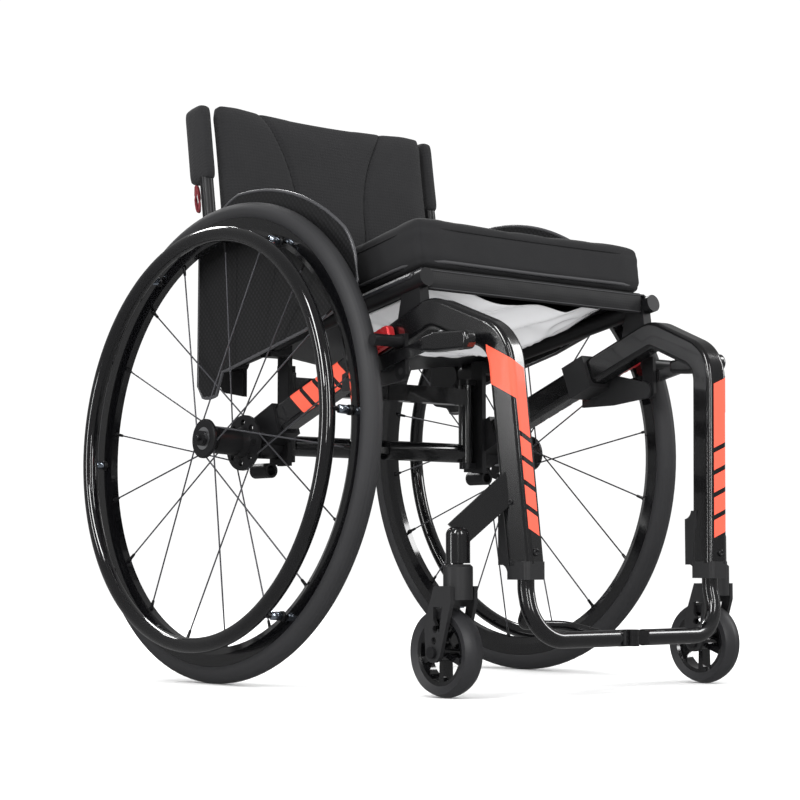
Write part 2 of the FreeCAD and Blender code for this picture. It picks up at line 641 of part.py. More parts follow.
def caster_rim(name, side):
    """Five-spoke rim: hub, spokes from one patterned pad, and the ring under the tyre."""
    seat = "caster_r-caster_tyre"
    half = "caster_w/2"
    body = doc.addObject("PartDesign::Body", name)
    hub = outline_sketch(body, "XZ_Plane", [
        ("stem_r+running", f"-{half}-1"), ("caster_hub_r", f"-{half}-1"), ("caster_hub_r", f"{half}+1"),
        ("stem_r+running", f"{half}+1"),
    ])
    hub_turn = body.newObject("PartDesign::Revolution", name + "Hub")
    hub_turn.Profile = hub
    hub_turn.ReferenceAxis = (hub, ["V_Axis"])
    hub_turn.Angle = 360
    spoke = outline_sketch(body, "XY_Plane", [
        ("caster_hub_r-2", "-3.2"), (f"{seat}-3", "-4"), (f"{seat}-3", "4"), ("caster_hub_r-2", "3.2"),
    ])
    spoke_pad = body.newObject("PartDesign::Pad", name + "Spoke")
    spoke_pad.Profile = spoke
    spoke_pad.SideType = "Symmetric"
    bind(spoke_pad, Length="caster_w-12")
    body.Tip = spoke_pad
    doc.recompute()
    pattern = body.newObject("PartDesign::PolarPattern", name + "Spokes")
    pattern.Originals = [spoke_pad]
    pattern.Axis = (plane_of(body, "Z_Axis"), [""])
    pattern.Angle = 360
    pattern.Occurrences = 5
    body.Tip = pattern
    hoop = outline_sketch(body, "XZ_Plane", [
        (f"{seat}-4.5", f"-{half}+4"), (seat, f"-{half}+3"), (seat, f"{half}-3"),
        (f"{seat}-4.5", f"{half}-4"),
    ])
    hoop_turn = body.newObject("PartDesign::Revolution", name + "Hoop")
    hoop_turn.Profile = hoop
    hoop_turn.ReferenceAxis = (hoop, ["V_Axis"])
    hoop_turn.Angle = 360
    body.Tip = hoop_turn
    keep(place(body, **caster_spot(side)), name)


def caster_axle(name, side):
    """Axle bolt with its head and nut outside the fork's cheeks."""
    cheek = "fork_gap+fork_w"
    body = turned(name, [
        ("0", f"-({cheek})-4"), ("6.5", f"-({cheek})-4"), ("6.5", f"-({cheek})"), ("stem_r", f"-({cheek})"),
        ("stem_r", cheek), ("6.5", cheek), ("6.5", f"{cheek}+4"), ("0", f"{cheek}+4"),
    ])
    keep(place(body, **caster_spot(side)), name)


# ---------------------------------------------------------------- folding linkage

def fold_gate(name, side):
    """Half of the folding cross frame: barrel, axle tube, crossbar and the knuckles in the middle."""
    hinge_y = "axle_y-hinge_f"
    centre_y = "axle_y-hinge_f+hinge_back"
    barrel = cylinder(name + "Barrel", "barrel_r", "gate_high-gate_low",
                      (f"{side}*foot_x", hinge_y, "gate_low"))
    tube = cylinder(name + "Tube", "axle_tube_r", "foot_x-19", (f"{side}*11", "axle_y", "axle_z"),
                    (0, 1, 0), 90 * side)
    bar = box(name + "Bar", ("bar_end_x-0.5", "bar_deep", "bar_tall"),
              (f"{side}*(bar_end_x+0.5)/2-(bar_end_x-0.5)/2", "axle_y-bar_f-bar_deep/2", "bar_z-bar_tall/2"))
    arm = box(name + "Arm", ("foot_x-bar_end_x+10", "12", "bar_tall"),
              (f"{side}*(foot_x+bar_end_x-10)/2-(foot_x-bar_end_x+10)/2", "axle_y-14", "bar_z-bar_tall/2"))
    neck = box(name + "Neck", ("20", "16", "18"),
               (f"{side}*(foot_x-14)-10", "axle_y-9", "axle_z-9"))
    solids = [barrel, tube, bar, arm, neck]
    outer = side < 0
    for tag, middle, tall in (("Low", "axle_z", "2*axle_tube_r"), ("High", "bar_z", "bar_tall")):
        third = f"({tall})/3"
        if outer:
            layers = [(f"{middle}-({tall})/2", f"{third}-knuckle_gap/2"),
                      (f"{middle}+({tall})/6+knuckle_gap/2", f"{third}-knuckle_gap/2")]
        else:
            layers = [(f"{middle}-({tall})/6+knuckle_gap/2", f"{third}-knuckle_gap")]
        for number, (low, thick) in enumerate(layers):
            solids.append(cylinder(f"{name}Eye{tag}{number}", "eye_r", thick, ("0", centre_y, low)))
            front = "axle_y+1" if tag == "Low" else "axle_y-bar_f"
            solids.append(box(f"{name}Lug{tag}{number}", ("18", f"({centre_y})-({front})+2", thick),
                              (f"{side}*9-9", front, low)))
    solid = fuse(name + "Solid", solids)
    bores = [
        cylinder(name + "PintleBore", "pin_r+running", "gate_high-gate_low+2",
                 (f"{side}*foot_x", hinge_y, "gate_low-1")),
        cylinder(name + "PinBore", "pin_r+running" if side > 0 else "pin_r", "gate_high-gate_low+20",
                 ("0", centre_y, "gate_low-10")),
        cylinder(name + "TubeBore", "axle_tube_r-axle_tube_wall", "foot_x-60",
                 (f"{side}*24", "axle_y", "axle_z"), (0, 1, 0), 90 * side),
    ]
    keep(cut(name + "Cut", solid, fuse(name + "Bores", bores)), name)


def fold_pin():
    """The long pin in the middle that both halves of the gate share."""
    pin = turned("fold_pin", [
        ("0", "axle_z-axle_tube_r-3"), ("pin_r+2.5", "axle_z-axle_tube_r-3"),
        ("pin_r+2.5", "axle_z-axle_tube_r"), ("pin_r", "axle_z-axle_tube_r"), ("pin_r", "bar_z+bar_tall/2"),
        ("pin_r+2.5", "bar_z+bar_tall/2"), ("pin_r+2.5", "bar_z+bar_tall/2+4"), ("0", "bar_z+bar_tall/2+4"),
    ])
    keep(place(pin, ("0", "axle_y-hinge_f+hinge_back", "0")), "fold_pin")


def footrest(name, side):
    """Half of the foot bar: a stub that turns in the collar, a bend and half of the bar."""
    stub = spot(side, "foot_x", "foot_f", "foot_top_z")
    drop = spot(side, "foot_x", "foot_f", "foot_drop_z")
    corner = spot(side, "foot_x", "foot_bar_f", "foot_bar_z")
    middle = spot(side, "foot_end_x", "foot_bar_f", "foot_bar_z")
    path = bent_wire([stub, drop, corner, middle], [40, value("foot_bend")])
    radius = value("foot_tube_r")
    tube = swept(path, round_section(stub, Vector(0, 0, -1), radius))
    pivot_y = "axle_y-(foot_f+hinge_back)"
    block = slab(name + "Block", "XY_Plane", [
        (f"{side}*(foot_eye_r+0.5)", "-3"), (f"{side}*foot_end_x", "-6.5"), (f"{side}*(foot_end_x+2)", "-6.5"),
        (f"{side}*(foot_end_x+2)", "9"), (f"{side}*(foot_eye_r/2)", "9.2"), (f"{side}*(foot_eye_r+0.5)", "3"),
    ], "2*foot_tube_r-3")
    pieces = [shaped(name + "Tube", tube), place(block, ("0", pivot_y, "foot_bar_z"))]
    third = "(2*foot_tube_r)/3"
    low = "foot_bar_z-foot_tube_r"
    if side < 0:
        layers = [(low, f"{third}-knuckle_gap/2"),
                  (f"{low}+2*{third}+knuckle_gap/2", f"{third}-knuckle_gap/2")]
    else:
        layers = [(f"{low}+{third}+knuckle_gap/2", f"{third}-knuckle_gap")]
    for number, (start, thick) in enumerate(layers):
        pieces.append(cylinder(f"{name}Eye{number}", "foot_eye_r", thick, ("0", pivot_y, start)))
        pieces.append(box(f"{name}Lug{number}", ("foot_end_x+2", "10", thick),
                          (f"({side}-1)*(foot_end_x+2)/2", "axle_y-foot_bar_f-4", start)))
    if side < 0:
        pieces.append(cylinder(name + "Pin", "foot_pin_r", "2*foot_tube_r", ("0", pivot_y, low)))
        brace_start = spot(side, "foot_x-1", "foot_f-2", "brace_z+16")
        brace_turn = spot(side, "foot_x-6", "brace_f", "brace_z")
        brace_path = bent_wire([
            brace_start, brace_turn, spot(side, "80", "brace_f+4", "brace_z-2"),
            spot(side, "30", "foot_bar_f-1", "foot_bar_z+1"),
        ], [10, 60])
        brace = swept(brace_path, round_section(brace_start, brace_turn - brace_start, value("brace_r")))
        pieces.append(shaped(name + "Brace", brace))
    solid = fuse(name + "Solid", pieces)
    if side < 0:
        return keep(solid, name)
    bore = cylinder(name + "Bore", "foot_pin_r+running", "2*foot_tube_r+4", ("0", pivot_y, f"{low}-2"))
    return keep(cut(name + "Cut", solid, bore), name)


# ---------------------------------------------------------------- seat and back

def seat_sling():
    """The hung seat cloth between the rails."""
    body = slab("sling_body", "YZ_Plane", [
        ("-rail_front_f+12", "-sling_thick/2"), ("-rail_front_f+12", "sling_thick/2"),
        ("-rail_rear_f-30", "sling_thick/2"), ("-rail_rear_f-30", "-sling_thick/2"),
    ], "2*sling_half")
    height = "rail_front_z-rail_front_f*(rail_front_z-rail_rear_z)/(rail_front_f-rail_rear_f)"
    lift = f"(rail_r+sling_thick/2+running)/cos({rail_angle()})"
    keep(place(body, ("0", "axle_y", f"{height}+{lift}"), (1, 0, 0), f"-{rail_angle()}"), "seat_sling")


def seat_cushion():
    """A plain pad, a little wider at the front, lying on the rails."""
    body = slab("cushion_body", "XY_Plane", [
        ("-cushion_half", "-cushion_front_f"), ("cushion_half", "-cushion_front_f"),
        ("cushion_rear_half", "-cushion_rear_f"), ("-cushion_rear_half", "-cushion_rear_f"),
    ], "cushion_thick")
    doc.recompute()
    edges = [f"Edge{i + 1}" for i in range(len(body.Tip.Shape.Edges))]
    rounded(body, "cushion_round", edges)
    middle_y = "axle_y+cushion_thick/2*sin(cushion_tilt)"
    middle_z = "cushion_front_z-cushion_front_f*tan(cushion_tilt)+cushion_thick/2*cos(cushion_tilt)"
    keep(place(body, ("0", middle_y, middle_z), (1, 0, 0), "-cushion_tilt"), "seat_cushion")


def back_spot(x):
    """Placement at the foot of the back, its local Z leaning with the recline."""
    return {"at": (x, "axle_y-post_base_f", "post_base_z"), "axis": (1, 0, 0), "angle": "-recline"}


def back_upholstery():
    """The back panel in front of the posts, with sleeves that slip over them."""
    body = slab("back_body", "YZ_Plane", [
        ("-back_front", "back_low"), ("back_thick-back_front", "back_low"),
        ("back_thick-back_front", "back_high"), ("-back_front", "back_high"),
    ], "2*back_half")
    doc.recompute()
    edges = [f"Edge{i + 1}" for i in range(len(body.Tip.Shape.Edges))]
    rounded(body, "back_thick/2-1", edges)
    place(body, **back_spot("0"))
    pieces = [body]
    tools = []
    for tag, side in SIDES:
        sleeve = cylinder(f"{tag}Sleeve", "post_r+2.5", "post_long-back_low-80")
        place(sleeve, **back_spot(f"{side}*post_x"))
        web = slab(f"{tag}Web", "XZ_Plane", [
            (f"{side}*(back_half-20)", "back_low+80"), (f"{side}*post_x", "back_low+80"),
            (f"{side}*post_x", "post_long-4"), (f"{side}*(back_half-20)", "post_long-4"),
        ], "8")
        web_spot = back_spot("0")
        place(web, **web_spot)
        slide_along(sleeve, "back_low+80")
        bore = cylinder(f"{tag}SleeveBore", "post_r+0.3", "post_long+60")
        place(bore, **back_spot(f"{side}*post_x"))
        pieces += [sleeve, web]
        tools.append(bore)
    solid = fuse("back_solid", pieces)
    keep(cut("back_cut", solid, fuse("back_bores", tools)), "back_upholstery")


def slide_along(thing, distance):
    """Move a placed piece along the leaning post by a distance from the hinge."""
    thing.setExpression("Placement.Base.y", linked(f"axle_y-post_base_f+({distance})*sin(recline)"))
    thing.setExpression("Placement.Base.z", linked(f"post_base_z+({distance})*cos(recline)"))


def back_post(name, side):
    """The back tube with its flattened foot, bored for the hinge bolt."""
    outer = place(cylinder(name + "Outer", "post_r", "post_long"), **back_spot(f"{side}*post_x"))
    knuckle = cross_rod(name + "Knuckle", "post_r+1", "post_x-post_r+0.3", "2*post_r-0.6", side,
                        "post_base_f", "post_base_z")
    inner = cylinder(name + "Inner", "post_r-post_wall", "post_long-24")
    place(inner, **back_spot(f"{side}*post_x"))
    slide_along(inner, "20")
    bolt_hole = cross_rod(name + "Hole", "4+running", "post_x-20", "40", side, "post_base_f", "post_base_z")
    solid = fuse(name + "Solid", [outer, knuckle])
    keep(cut(name + "Cut", solid, fuse(name + "Tools", [inner, bolt_hole])), name)


def back_bracket(name, side, rail):
    """The plate that joins rail and post, with the hinge bolt of the back."""
    plate = slab(name + "Plate", "YZ_Plane", [
        ("48", "-58"), ("82", "-52", "20"), ("100", "-24"), ("99", "4", "16"), ("76", "13.5"), ("48", "6"),
    ], "6")
    place(plate, (f"{side}*(post_x-post_r-3.2)", "axle_y", "post_base_z"))
    bolt = cross_rod(name + "Bolt", "4", "post_x-post_r-3", "2*post_r+4", side, "post_base_f", "post_base_z")
    head = cross_rod(name + "Head", "7", "post_x+post_r+0.2", "2", side, "post_base_f", "post_base_z")
    clamp = cross_rod(name + "Clamp", "15", "rail_x-12", "24", side, "-58", "rail_rear_z+2.2")
    solid = fuse(name + "Solid", [plate, bolt, head, clamp])
    keep(cut(name + "Cut", solid, rail), name)


def side_guard(name, side):
    """The thin guard whose edge follows the wheel from behind the post to the front."""
    body = slab(name, "YZ_Plane", [
        ("107", "376"), ("96", "361", "-60"), ("66", "362"), ("52", "392"), ("42", "393"), ("-120", "430"),
        ("-206", "458", "-24"),
        ("-221", "482"), ("-219", "506", "-90"), ("-196", "axle_z+3+sqrt(guard_r^2-196^2)", "-guard_r"),
        ("20", "axle_z+3+sqrt(guard_r^2-20^2)", "-130"), ("106", "axle_z+245"),
    ], "guard_thick")
    keep(place(body, (f"{side}*(guard_x+guard_thick/2)", "axle_y", "0")), name)


# ---------------------------------------------------------------- wheel locks

def lock_clamp(name, side, frame):
    """The block on the frame tube and the plate that carries lever and shoe."""
    z = "frame_rear_z+lock_f*(apex_z-frame_rear_z)/apex_f"
    tall = "frame_deep/2+lock_wall"
    block = slab(name + "Block", "YZ_Plane", [
        ("-lock_long/2", f"-({tall})"), ("lock_long/2", f"-({tall})"),
        ("lock_long/2", tall), ("-lock_long/2", tall),
    ], "frame_w+2*lock_wall")
    place(block, (f"{side}*frame_x", "axle_y-lock_f", z), (1, 0, 0), f"-{run_angle()}")
    plate = slab(name + "Plate", "YZ_Plane", [
        ("-lock_f+24", "352"), ("-lock_f+24", "372"), ("-lock_f-30", "392"), ("-shoe_f", "shoe_z+10", "11"),
        ("-shoe_f", "shoe_z-10"), ("-lock_f-30", "352"),
    ], "lock_plate")
    place(plate, (f"{side}*lock_plate_x", "axle_y", "0"))
    pins = [
        cross_rod(name + "LeverPin", "4", "lock_plate_x", "lever_x+lever_thick/2+1-lock_plate_x", side,
                  "lever_f", "lever_z"),
        cross_rod(name + "ShoePin", "4", "lock_plate_x", "shoe_x+shoe_plate/2-lock_plate_x", side, "shoe_f",
                  "shoe_z"),
    ]
    solid = fuse(name + "Solid", [block, plate] + pins)
    keep(cut(name + "Cut", solid, frame), name)


def lock_lever(name, side):
    """The hand lever, a bent plate with a thick rounded handle at the front."""
    plate = slab(name + "Plate", "YZ_Plane", [
        ("-lever_f+9", "lever_z-4"), ("-lever_f+6", "lever_z+8"), ("-lever_f-30", "lever_z+13"),
        ("-lever_tip_f+grip_long-12", "lever_tip_z+5"), ("-lever_tip_f+grip_long-12", "lever_tip_z-8"),
        ("-lever_f-34", "lever_z-1"), ("-lever_f-9", "lever_z-8"),
    ], "lever_thick")
    place(plate, (f"{side}*lever_x", "axle_y", "0"))
    grip = slab(name + "Grip", "YZ_Plane", [
        ("-lever_tip_f+grip_long", "lever_tip_z-9"), ("-lever_tip_f+grip_long", "lever_tip_z+7"),
        ("-lever_tip_f+grip_long-24", "lever_tip_z+12"), ("-lever_tip_f+14", "lever_tip_z+10", "12"),
        ("-lever_tip_f+14", "lever_tip_z-11"), ("-lever_tip_f+grip_long-24", "lever_tip_z-11"),
    ], "grip_w")
    doc.recompute()
    rounded(grip, "5", [f"Edge{i + 1}" for i in range(len(grip.Tip.Shape.Edges))])
    place(grip, (f"{side}*grip_x", "axle_y", "0"))
    bore = cross_rod(name + "Bore", "4+running", "lever_x-20", "40", side, "lever_f", "lever_z")
    keep(cut(name + "Cut", fuse(name + "Solid", [plate, grip]), bore), name)


def lock_shoe(name, side):
    """The shoe arm with the round shoe that presses on the tyre."""
    arm = slab(name + "Arm", "YZ_Plane", [
        ("-shoe_f-9", "shoe_z-4", "9.5"), ("-shoe_f+9", "shoe_z-4"), ("-shoe_f+11", "shoe_tip_z-6"),
        ("-shoe_f+8", "shoe_tip_z+9"), ("-shoe_f-8", "shoe_tip_z+9"),
    ], "shoe_plate")
    place(arm, (f"{side}*shoe_x", "axle_y", "0"))
    bar = cross_rod(name + "Bar", "shoe_r", "shoe_x", "shoe_reach-shoe_x", side, "shoe_f", "shoe_tip_z")
    bore = cross_rod(name + "Bore", "4+running", "shoe_x-20", "40", side, "shoe_f", "shoe_z")
    keep(cut(name + "Cut", fuse(name + "Solid", [arm, bar]), bore), name)


# ---------------------------------------------------------------- assembly

def build():
    fill_sheet()
    for tag, side in SIDES:
        rear_tyre(f"{tag}_rear_tyre", side)
        rim = rear_rim(f"{tag}_rear_rim", side)
        rear_hub(f"{tag}_rear_hub", side)
        hub_bearings(f"{tag}_hub_bearings", side)
        rear_spokes(f"{tag}_rear_spokes", side)
        handrim(f"{tag}_handrim", side, rim)
        quick_release(tag, side)
        frame = side_frame(f"{tag}_side_frame", side)
        rail = seat_rail(f"{tag}_seat_rail", side, frame)
        clamp = axle_clamp(f"{tag}_axle_clamp", side, frame)
        hinge_upright(f"{tag}_hinge_upright", side, rail, clamp)
        side_bolts(f"{tag}_side_bolts", side, rail)
        arm = caster_arm(f"{tag}_caster_arm", side, frame)
        leg_collar(f"{tag}_leg_collar", side, frame, arm)
        caster_stem_bearings(f"{tag}_caster_stem_bearings", side)
        caster_fork(f"{tag}_caster_fork", side)
        caster_tyre(f"{tag}_caster_tyre", side)
        caster_rim(f"{tag}_caster_rim", side)
        caster_axle(f"{tag}_caster_axle", side)
        fold_gate(f"{tag}_fold_gate", side)
        footrest(f"{tag}_footrest", side)
        back_post(f"{tag}_back_post", side)
        back_bracket(f"{tag}_back_bracket", side, rail)
        side_guard(f"{tag}_side_guard", side)
        lock_clamp(f"{tag}_wheel_lock_clamp", side, frame)
        lock_lever(f"{tag}_wheel_lock_lever", side)
        lock_shoe(f"{tag}_wheel_lock_shoe", side)
    fold_pin()
    seat_sling()
    seat_cushion()
    back_upholstery()
    doc.recompute()


def check():
    """Stop with a list of names if any object failed or any sub-part is not sound."""
    faults = [o.Name for o in doc.Objects if {"Invalid", "Error"} & set(o.State)]
    for part in parts:
        if part.Shape.isNull() or not part.Shape.isValid() or not part.Shape.Solids:
            faults.append(part.Label)
    if faults:
        raise RuntimeError("unsound objects: " + ", ".join(faults))


def export():
    os.makedirs("parts", exist_ok=True)
    for part in parts:
        part.Shape.exportStep(f"parts/{part.Label}.step")


build()
check()
export()
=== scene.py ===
"""Looks of the folding active wheelchair: finishes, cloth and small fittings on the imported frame.

Metres, +Z up, the seat faces -Y. Sizes that come from the frame are read from it; the others are named here.
"""
import json
import math

import bmesh
import bpy
from mathutils import Matrix, Vector, noise
from mathutils.bvhtree import BVHTree


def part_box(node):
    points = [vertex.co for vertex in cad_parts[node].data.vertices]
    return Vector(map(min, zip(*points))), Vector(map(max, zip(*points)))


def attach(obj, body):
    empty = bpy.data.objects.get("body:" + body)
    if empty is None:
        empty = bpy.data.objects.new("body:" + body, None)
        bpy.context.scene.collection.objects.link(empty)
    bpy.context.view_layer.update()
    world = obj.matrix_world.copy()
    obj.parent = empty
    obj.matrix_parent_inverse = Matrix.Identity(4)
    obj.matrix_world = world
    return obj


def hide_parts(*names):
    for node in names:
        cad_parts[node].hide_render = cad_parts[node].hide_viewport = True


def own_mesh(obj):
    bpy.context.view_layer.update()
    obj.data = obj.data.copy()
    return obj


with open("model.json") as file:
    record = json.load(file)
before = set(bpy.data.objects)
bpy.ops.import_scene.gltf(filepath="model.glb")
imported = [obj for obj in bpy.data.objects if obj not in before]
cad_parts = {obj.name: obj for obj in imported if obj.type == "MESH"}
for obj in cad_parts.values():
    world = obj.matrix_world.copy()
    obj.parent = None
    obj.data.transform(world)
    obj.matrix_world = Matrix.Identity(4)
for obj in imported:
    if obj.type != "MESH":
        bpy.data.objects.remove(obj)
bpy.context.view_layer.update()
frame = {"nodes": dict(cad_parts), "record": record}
NODES = frame["nodes"]
SIDES = (("right", -1), ("left", 1))

UP = Vector((0, 0, 1))
ACROSS = Vector((1, 0, 0))
AHEAD = Vector((0, -1, 0))


def middle(node):
    low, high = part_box(node)
    return (low + high) / 2


AXLE_Y = middle("right_rear_tyre").y


# ---------------------------------------------------------------- finishes

def node_of(tree, kind, **inputs):
    made = tree.nodes.new(kind)
    for name, setting in inputs.items():
        made.inputs[name.replace("_", " ")].default_value = setting
    return made


def calculate(tree, operation, *operands):
    """A maths node; each operand is a socket or a number."""
    made = tree.nodes.new("ShaderNodeMath")
    made.operation = operation
    for slot, operand in zip(made.inputs, operands):
        if isinstance(operand, (int, float)):
            slot.default_value = operand
        else:
            tree.links.new(operand, slot)
    return made.outputs[0]


def grain(tree, scale):
    """Noise in the object's own space, so that it needs no UVs."""
    place = tree.nodes.new("ShaderNodeTexCoord")
    texture = node_of(tree, "ShaderNodeTexNoise", Scale=scale, Detail=3.0)
    tree.links.new(place.outputs["Object"], texture.inputs["Vector"])
    return texture.outputs["Fac"]


def stripes(tree, direction, pitch):
    """A 0..1 wave along a direction in the object's space, one crest per pitch."""
    place = tree.nodes.new("ShaderNodeTexCoord")
    along = tree.nodes.new("ShaderNodeVectorMath")
    along.operation = "DOT_PRODUCT"
    along.inputs[1].default_value = Vector(direction).normalized()
    tree.links.new(place.outputs["Object"], along.inputs[0])
    turns = calculate(tree, "MULTIPLY", along.outputs["Value"], 2 * math.pi / pitch)
    return calculate(tree, "MULTIPLY_ADD", calculate(tree, "SINE", turns), 0.5, 0.5)


COLOUR_GRAIN, SHINE_GRAIN = 14.0, 40.0
MM = 0.001


def finish(name, colour, rough, metal=0.0, coat=0.0, speck=900.0, depth=0.02, vary=0.12, relief=None,
           sheen=0.0):
    """A finish with a slight drift of colour and shine, and a fine relief depth millimetres deep."""
    material = bpy.data.materials.new(name)
    material.use_nodes = True
    tree = material.node_tree
    shader = tree.nodes["Principled BSDF"]
    shader.inputs["Metallic"].default_value = metal
    shader.inputs["Coat Weight"].default_value = coat
    shader.inputs["Coat Roughness"].default_value = 0.06
    shader.inputs["Sheen Weight"].default_value = sheen
    shader.inputs["Sheen Roughness"].default_value = 0.5
    mix = tree.nodes.new("ShaderNodeMix")
    mix.data_type = "RGBA"
    mix.inputs["A"].default_value = (*(c * (1 - vary) for c in colour), 1)
    mix.inputs["B"].default_value = (*(min(1.0, c * (1 + vary)) for c in colour), 1)
    tree.links.new(grain(tree, COLOUR_GRAIN), mix.inputs["Factor"])
    tree.links.new(mix.outputs["Result"], shader.inputs["Base Color"])
    drift = calculate(tree, "MULTIPLY_ADD", grain(tree, SHINE_GRAIN), 0.12 * rough, 0.94 * rough)
    tree.links.new(drift, shader.inputs["Roughness"])
    bump = node_of(tree, "ShaderNodeBump", Strength=0.6, Distance=depth * MM)
    tree.links.new(relief(tree) if relief else grain(tree, speck), bump.inputs["Height"])
    tree.links.new(bump.outputs["Normal"], shader.inputs["Normal"])
    return material


def tinted(material, dark, light, pattern):
    """Replace a finish's colour drift by a two-colour pattern."""
    tree = material.node_tree
    mix = next(n for n in tree.nodes if n.type == "MIX")
    mix.inputs["A"].default_value = (*dark, 1)
    mix.inputs["B"].default_value = (*light, 1)
    tree.links.new(pattern(tree), mix.inputs["Factor"])
    return material


def woven(pitch):
    """Crossing threads of a plain weave on faces of any direction."""
    def relief(tree):
        warp = stripes(tree, (1, 0.35, 0), pitch)
        weft = stripes(tree, (0, 0.5, 1), pitch)
        return calculate(tree, "MULTIPLY", warp, weft)
    return relief


TWILL_PITCH = 0.0055
RIB_PITCH = 0.0036


def twill(tree):
    """The diagonal ladder of a carbon twill on a face across X."""
    rise = stripes(tree, (0, 1, 1), TWILL_PITCH)
    fall = stripes(tree, (0, 1, -1), TWILL_PITCH)
    return calculate(tree, "GREATER_THAN", calculate(tree, "MULTIPLY", rise, fall), 0.25)


def ribbed(side):
    """Fine ribs that run round a cambered wheel."""
    return lambda tree: stripes(tree, wheel_axis(side), RIB_PITCH)


CAMBER = math.radians(3)


def wheel_axis(side):
    return Vector((side * math.cos(CAMBER), 0, math.sin(CAMBER)))


BLACK = (0.004, 0.004, 0.0045)
CORAL = (0.82, 0.09, 0.045)

FINISHES = {
    "frame_black": finish("frame_black", BLACK, 0.2, coat=1.0, speck=300.0, depth=0.002),
    "black_anodised": finish("black_anodised", (0.010, 0.010, 0.011), 0.34, metal=0.3, depth=0.02),
    "dark_plastic": finish("dark_plastic", (0.015, 0.015, 0.016), 0.42, speck=1400.0, depth=0.05),
    "gloss_rim": finish("gloss_rim", (0.003, 0.003, 0.0035), 0.1, coat=1.0, depth=0.006),
    "tyre_rubber": finish("tyre_rubber", (0.019, 0.019, 0.021), 0.6, depth=0.15, relief=ribbed(-1)),
    "caster_rubber": finish("caster_rubber", (0.020, 0.020, 0.022), 0.45, speck=700.0, depth=0.04),
    "steel": finish("steel", (0.62, 0.63, 0.65), 0.28, metal=1.0, depth=0.02),
    "spoke_steel": finish("spoke_steel", (0.10, 0.10, 0.11), 0.35, metal=0.7, depth=0.01),
    "red_anodised": finish("red_anodised", (0.62, 0.03, 0.035), 0.3, metal=0.45, coat=0.4, depth=0.01),
    "carbon": tinted(finish("carbon", (0.01, 0.01, 0.011), 0.6, depth=0.03, relief=twill),
                     (0.002, 0.002, 0.0025), (0.009, 0.009, 0.0105), twill),
    "seat_cloth": finish("seat_cloth", (0.0075, 0.0075, 0.0088), 0.9, speck=1600.0, depth=0.12, vary=0.12,
                         sheen=0.03),
    "sling_cloth": finish("sling_cloth", (0.012, 0.012, 0.014), 0.32, depth=0.08, relief=woven(0.0016)),
    "back_cloth": finish("back_cloth", (0.0105, 0.0105, 0.0118), 0.9, depth=0.5, relief=woven(0.0042),
                         sheen=0.045),
}
LEFT_TYRE = finish("left_tyre_rubber", (0.019, 0.019, 0.021), 0.6, depth=0.15, relief=ribbed(1))
CORAL_FILM = finish("coral_film", CORAL, 0.5, coat=0.08, depth=0.002, vary=0.03)
PIPING = finish("piping", (0.040, 0.040, 0.043), 0.6, depth=0.05, relief=woven(0.0016))
WEBBING = finish("webbing", (0.010, 0.010, 0.011), 0.7, depth=0.2, relief=woven(0.0028))
SEAM = finish("seam_thread", (0.006, 0.006, 0.007), 0.85, depth=0.1)
# lighter grey bead on the side guard's edge: painted highlight
EDGE_PAINTED_HIGHLIGHT = finish("guard_painted_highlight_bead", (0.05, 0.05, 0.054), 0.35, coat=0.3, depth=0.01)
CHROME = finish("tab_chrome", (0.55, 0.62, 0.72), 0.16, metal=1.0, depth=0.01)
NIPPLE = finish("nipple_black", (0.012, 0.012, 0.013), 0.3, metal=0.5, depth=0.01)
# the pouch's pale grey colour is painted reflection on dark shiny nylon
PAINTED_REFLECTION_NYLON = finish("pouch_nylon_painted_reflection", (0.55, 0.55, 0.56), 0.24, coat=0.6, depth=0.05, relief=woven(0.0012))
CORD = finish("pull_cord", (0.16, 0.012, 0.018), 0.7, depth=0.2, relief=woven(0.0024))


def dress(obj, material):
    obj.data.materials.clear()
    obj.data.materials.append(material)
    return obj


for subpart in frame["record"]["subparts"]:
    dress(NODES[subpart["node"]], FINISHES[subpart["material_slot"]])
dress(NODES["left_rear_tyre"], LEFT_TYRE)
for tag, side in SIDES:
    dress(NODES[f"{tag}_wheel_lock_lever"], FINISHES["frame_black"])


# ---------------------------------------------------------------- meshes

def link(name, data):
    """A new object in the scene."""
    obj = bpy.data.objects.new(name, data)
    bpy.context.scene.collection.objects.link(obj)
    return obj


def shade_smooth(mesh):
    for polygon in mesh.polygons:
        polygon.use_smooth = True


def make(name, points, faces, material, body, slot_name):
    """A piece from points and faces, riding on a body."""
    mesh = bpy.data.meshes.new(name)
    mesh.from_pydata([tuple(p) for p in points], [], faces)
    mesh.validate()
    shade_smooth(mesh)
    return hang(link(name, mesh), material, body, slot_name)


def hang(obj, material, body, slot_name):
    """Dress a piece and let it ride on a body."""
    dress(obj, material)
    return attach(obj, body)


def rings(sections, closed_path=False):
    """Points and faces of a skin over equal rings, its ends capped unless the path closes."""
    count = len(sections[0])
    points = [p for section in sections for p in section]
    faces = []
    spans = len(sections) if closed_path else len(sections) - 1
    for i in range(spans):
        a, b = i * count, (i + 1) % len(sections) * count
        for j in range(count):
            k = (j + 1) % count
            faces.append((a + j, a + k, b + k, b + j))
    if not closed_path:
        faces.append(tuple(range(count - 1, -1, -1)))
        faces.append(tuple(range(len(points) - count, len(points))))
    return points, faces


def tube(path, radius, closed=False, sides=10, flat=1.0):
    """A cord along a path; flat under 1 squeezes it across its second axis."""
    sections = []
    last = len(path) - 1
    for i, spot in enumerate(path):
        before = path[i - 1] if closed or i > 0 else spot
        after = path[(i + 1) % len(path)] if closed or i < last else spot
        along = (after - before).normalized()
        first = along.cross(UP)
        first = (first if first.length > 0.1 else along.cross(ACROSS)).normalized()
        second = along.cross(first)
        angles = [2 * math.pi * j / sides for j in range(sides)]
        sections.append([spot + first * radius * math.cos(t) + second * radius * flat * math.sin(t)
                         for t in angles])
    return rings(sections, closed)


